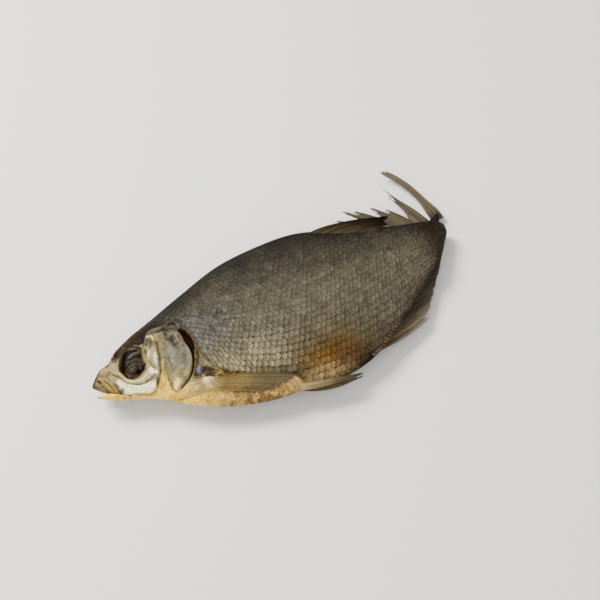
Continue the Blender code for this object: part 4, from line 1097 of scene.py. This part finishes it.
def makeJaw():
    jaw = {"upper": [(0, -4.8), (0.15, -5.2), (0.3, -6.6), (0.5, -9.3), (0.75, -13.6), (1, -16.4)],
           "lower": [(0, -7.4), (0.06, -7.9), (0.3, -10.9), (0.55, -14.2), (0.8, -17.0),
                     (1, -18.8)],
           "half": [(0, 1.2), (0.1, 2.6), (0.5, 4.4), (0.8, 4.6), (1, 3.0)],
           "front": 0.1, "length": 24.5}
    obj = addPrimitive("lowerJaw", bpy.ops.mesh.primitive_uv_sphere_add, segments=48,
                       ring_count=60)
    down, turn = readAngles(obj)
    upper, lower, half = (through(jaw[key])(down) for key in ("upper", "lower", "half"))
    swell = np.sin(down * math.pi) ** 0.4
    middle, depth = (upper + lower) / 2, (upper - lower) / 2
    x = jaw["front"] + jaw["length"] * down
    y = middle + depth * np.cos(turn) * swell
    z = half * np.sin(turn) * swell
    z = z * (1 + 0.08 * crumple(x, y, 3, 15))
    setPoints(obj, np.column_stack([x, y, z]))
    paint = np.ones((len(x), 3)) * (0.82, 0.545, 0.06)
    paint = cover(paint, (0.33, 0.18, 0.02), 1 - ramp(x, 1.0, 3.4))
    paint = cover(paint, (0.16, 0.0837, 0.0175), 0.6 * ramp(crumple(x, y, 4, 17), 0.1, 0.6))
    lip = 0.9 * np.exp(-((y - upper) / 0.7) ** 2) * (1 - ramp(x, 12, 19))
    paint = cover(paint, (0.097, 0.0492, 0.0128), lip)
    paint = cover(paint, np.array(headTones["throat"]), ramp(x, 17, 23))
    setPaint(obj, paint, np.full(len(x), 0.4))
    faceOutwards(obj)
    obj.data.shade_smooth()
    return obj


class Wire:  # a socket that can be used in sums
    def __init__(self, finish, socket):
        self.finish, self.socket = finish, socket

    def sum(self, operation, first, second):
        return self.finish.add("ShaderNodeMath", {"operation": operation}, {0: first, 1: second})

    def __add__(self, other): return self.sum("ADD", self, other)
    def __radd__(self, other): return self.sum("ADD", other, self)
    def __sub__(self, other): return self.sum("SUBTRACT", self, other)
    def __rsub__(self, other): return self.sum("SUBTRACT", other, self)
    def __mul__(self, other): return self.sum("MULTIPLY", self, other)
    def __rmul__(self, other): return self.sum("MULTIPLY", other, self)
    def __pow__(self, other): return self.sum("POWER", self, other)


class Finish:  # one material and its nodes
    def __init__(self, name, **constants):
        self.material = bpy.data.materials.new(name)
        self.material.use_nodes = True
        self.tree = self.material.node_tree
        self.shader = self.tree.nodes["Principled BSDF"]
        for socket, value in constants.items():
            self.shader.inputs[socket.replace("_", " ")].default_value = value

    def add(self, kind, settings=None, sockets=None, output=0):
        node = self.tree.nodes.new(kind)
        for key, value in (settings or {}).items():
            setattr(node, key, value)
        for key, value in (sockets or {}).items():
            if isinstance(value, Wire):
                self.tree.links.new(value.socket, node.inputs[key])
            else:
                node.inputs[key].default_value = value
        return Wire(self, node.outputs[output])

    def blend(self, first, second, amount, how="MIX"):
        return self.add("ShaderNodeMix", {"data_type": "RGBA", "blend_type": how},
                        {0: amount, 6: first, 7: second}, output=2)

    def noise(self, where, size, detail=4.0, rough=0.6):  # size in millimetres
        return self.add("ShaderNodeTexNoise", {}, {"Vector": where, "Scale": 1000 / size,
                                                   "Detail": detail, "Roughness": rough})

    def shade(self, **wires):
        for socket, wire in wires.items():
            self.tree.links.new(wire.socket, self.shader.inputs[socket.replace("_", " ")])
        return self.material


def skinFinish(name, grain, depth, roughness, contrast=0.6, stretch=(1, 1, 1), turn=0.0,
               rings=False):
    finish = Finish(name, Specular_IOR_Level=0.03, Coat_Roughness=0.32)
    where = finish.add("ShaderNodeTexCoord", output=3)
    drawn = finish.add("ShaderNodeMapping", {},
                       {"Vector": where, "Rotation": (0, 0, turn), "Scale": stretch})
    paint = finish.add("ShaderNodeVertexColor", {"layer_name": "paint"})
    gloss = finish.add("ShaderNodeAttribute", {"attribute_name": "gloss"}, output=2)
    broad = finish.noise(where, 9.0)
    fine = finish.noise(drawn, grain)
    speck = finish.noise(drawn, grain * 0.4, 2.0)
    level = 1 + contrast * (0.6 * (broad - 0.5) + 2.4 * (fine - 0.5) + 2.0 * (speck - 0.5))
    warm = level + 0.25 * contrast * (broad - 0.5)
    grey = finish.add("ShaderNodeCombineXYZ", {}, {0: warm, 1: level, 2: level})
    colour = finish.add("ShaderNodeVectorMath", {"operation": "MULTIPLY"}, {0: paint, 1: grey})
    bumps = 0.65 * fine + 0.35 * speck
    if rings:
        flatMap = finish.add("ShaderNodeUVMap", {"uv_map": "scaleMap"})
        bands = finish.add("ShaderNodeTexWave", {"wave_type": "BANDS", "bands_direction": "X"},
                           {"Vector": flatMap, "Scale": 4.0, "Distortion": 2.0, "Detail": 2.0})
        bumps = bumps + 0.2 * bands
    bump = finish.add("ShaderNodeBump", {},
                      {"Strength": 1.0, "Distance": depth * metresPerMillimetre, "Height": bumps})
    rough = roughness - 0.2 * gloss + 0.2 * (fine - 0.5)
    coat = 0.6 * gloss * speck
    return finish.shade(Base_Color=colour, Roughness=rough, Coat_Weight=coat, Normal=bump)


def makeRoom():  # plain pale floor, soft lights and the camera
    room = {"floor": 4.0, "tone": (0.72, 0.71, 0.69, 1), "sky": 0.51, "lens": 88.86, "sensor": 36}
    floor = addPrimitive("floor", bpy.ops.mesh.primitive_grid_add,
                         x_subdivisions=8, y_subdivisions=8, size=room["floor"])
    floor.location = (0, 0, -0.0002)
    bpy.ops.object.transform_apply(location=True, rotation=False, scale=False)
    finish = Finish("floorPaint", Roughness=0.6)
    finish.shader.inputs["Base Color"].default_value = room["tone"]
    floor.data.materials.append(finish.material)
    lights = [
        ("keyLight", (-0.55, 0.90, 1.25), 62.0, 0.7, (1.0, 0.985, 0.96)),
        ("fillLight", (-0.9, -0.9, 1.1), 23.0, 1.4, (1.0, 0.99, 0.975)),
        ("sideLight", (1.2, -0.2, 0.9), 7.7, 1.2, (1.0, 0.98, 0.95)),
    ]
    for name, place, power, size, colour in lights:
        lamp = bpy.data.lights.new(name, "AREA")
        lamp.energy, lamp.size, lamp.color = power, size, colour
        obj = bpy.data.objects.new(name, lamp)
        bpy.context.scene.collection.objects.link(obj)
        obj.location = place
        obj.rotation_euler = (-Vector(place)).to_track_quat("-Z", "Y").to_euler()
    world = bpy.data.worlds.new("studio")
    bpy.context.scene.world = world
    world.use_nodes = True
    world.node_tree.nodes["Background"].inputs[0].default_value = (1.0, 0.99, 0.97, 1)
    world.node_tree.nodes["Background"].inputs[1].default_value = room["sky"]
    view = bpy.data.cameras.new("camera")
    view.lens, view.sensor_width = room["lens"], room["sensor"]
    camera = bpy.data.objects.new("camera", view)
    bpy.context.scene.collection.objects.link(camera)
    axes = Matrix(((0.8937731, 0.3803659, -0.2376790), (-0.4485193, 0.7579626, -0.4736276),
                   (0.0, 0.5299193, 0.8480481)))
    camera.matrix_world = Matrix.Translation(toWorld((-99.84, -543.97, 980.14))) @ axes.to_4x4()
    bpy.context.scene.camera = camera


makeRoom()
skin = makeSkin()
scalesAbove = makeScales("scalesAbove", 1.0, 101)
scalesBelow = makeScales("scalesBelow", -1.0, 102)
keel = makeKeel()
fins = makeFins()
jaw = makeJaw()

skinMaterial = skinFinish("driedSkin", 1.5, 0.7, 0.7, contrast=0.7)
scaleMaterial = skinFinish("driedScales", 1.2, 0.8, 0.74, contrast=1.15, stretch=(1.3, 0.6, 1),
                           turn=0.4, rings=True)
finMaterial = skinFinish("driedFin", 1.2, 0.25, 0.66, contrast=0.5)
dressed = [(skin, skinMaterial), (scalesAbove, scaleMaterial), (scalesBelow, scaleMaterial),
           (keel, scaleMaterial), (jaw, skinMaterial)] + [(fin, finMaterial) for fin in fins]
for piece, material in dressed:
    piece.data.materials.clear()
    piece.data.materials.append(material)
    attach(piece, "root")
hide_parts("dried_bream")
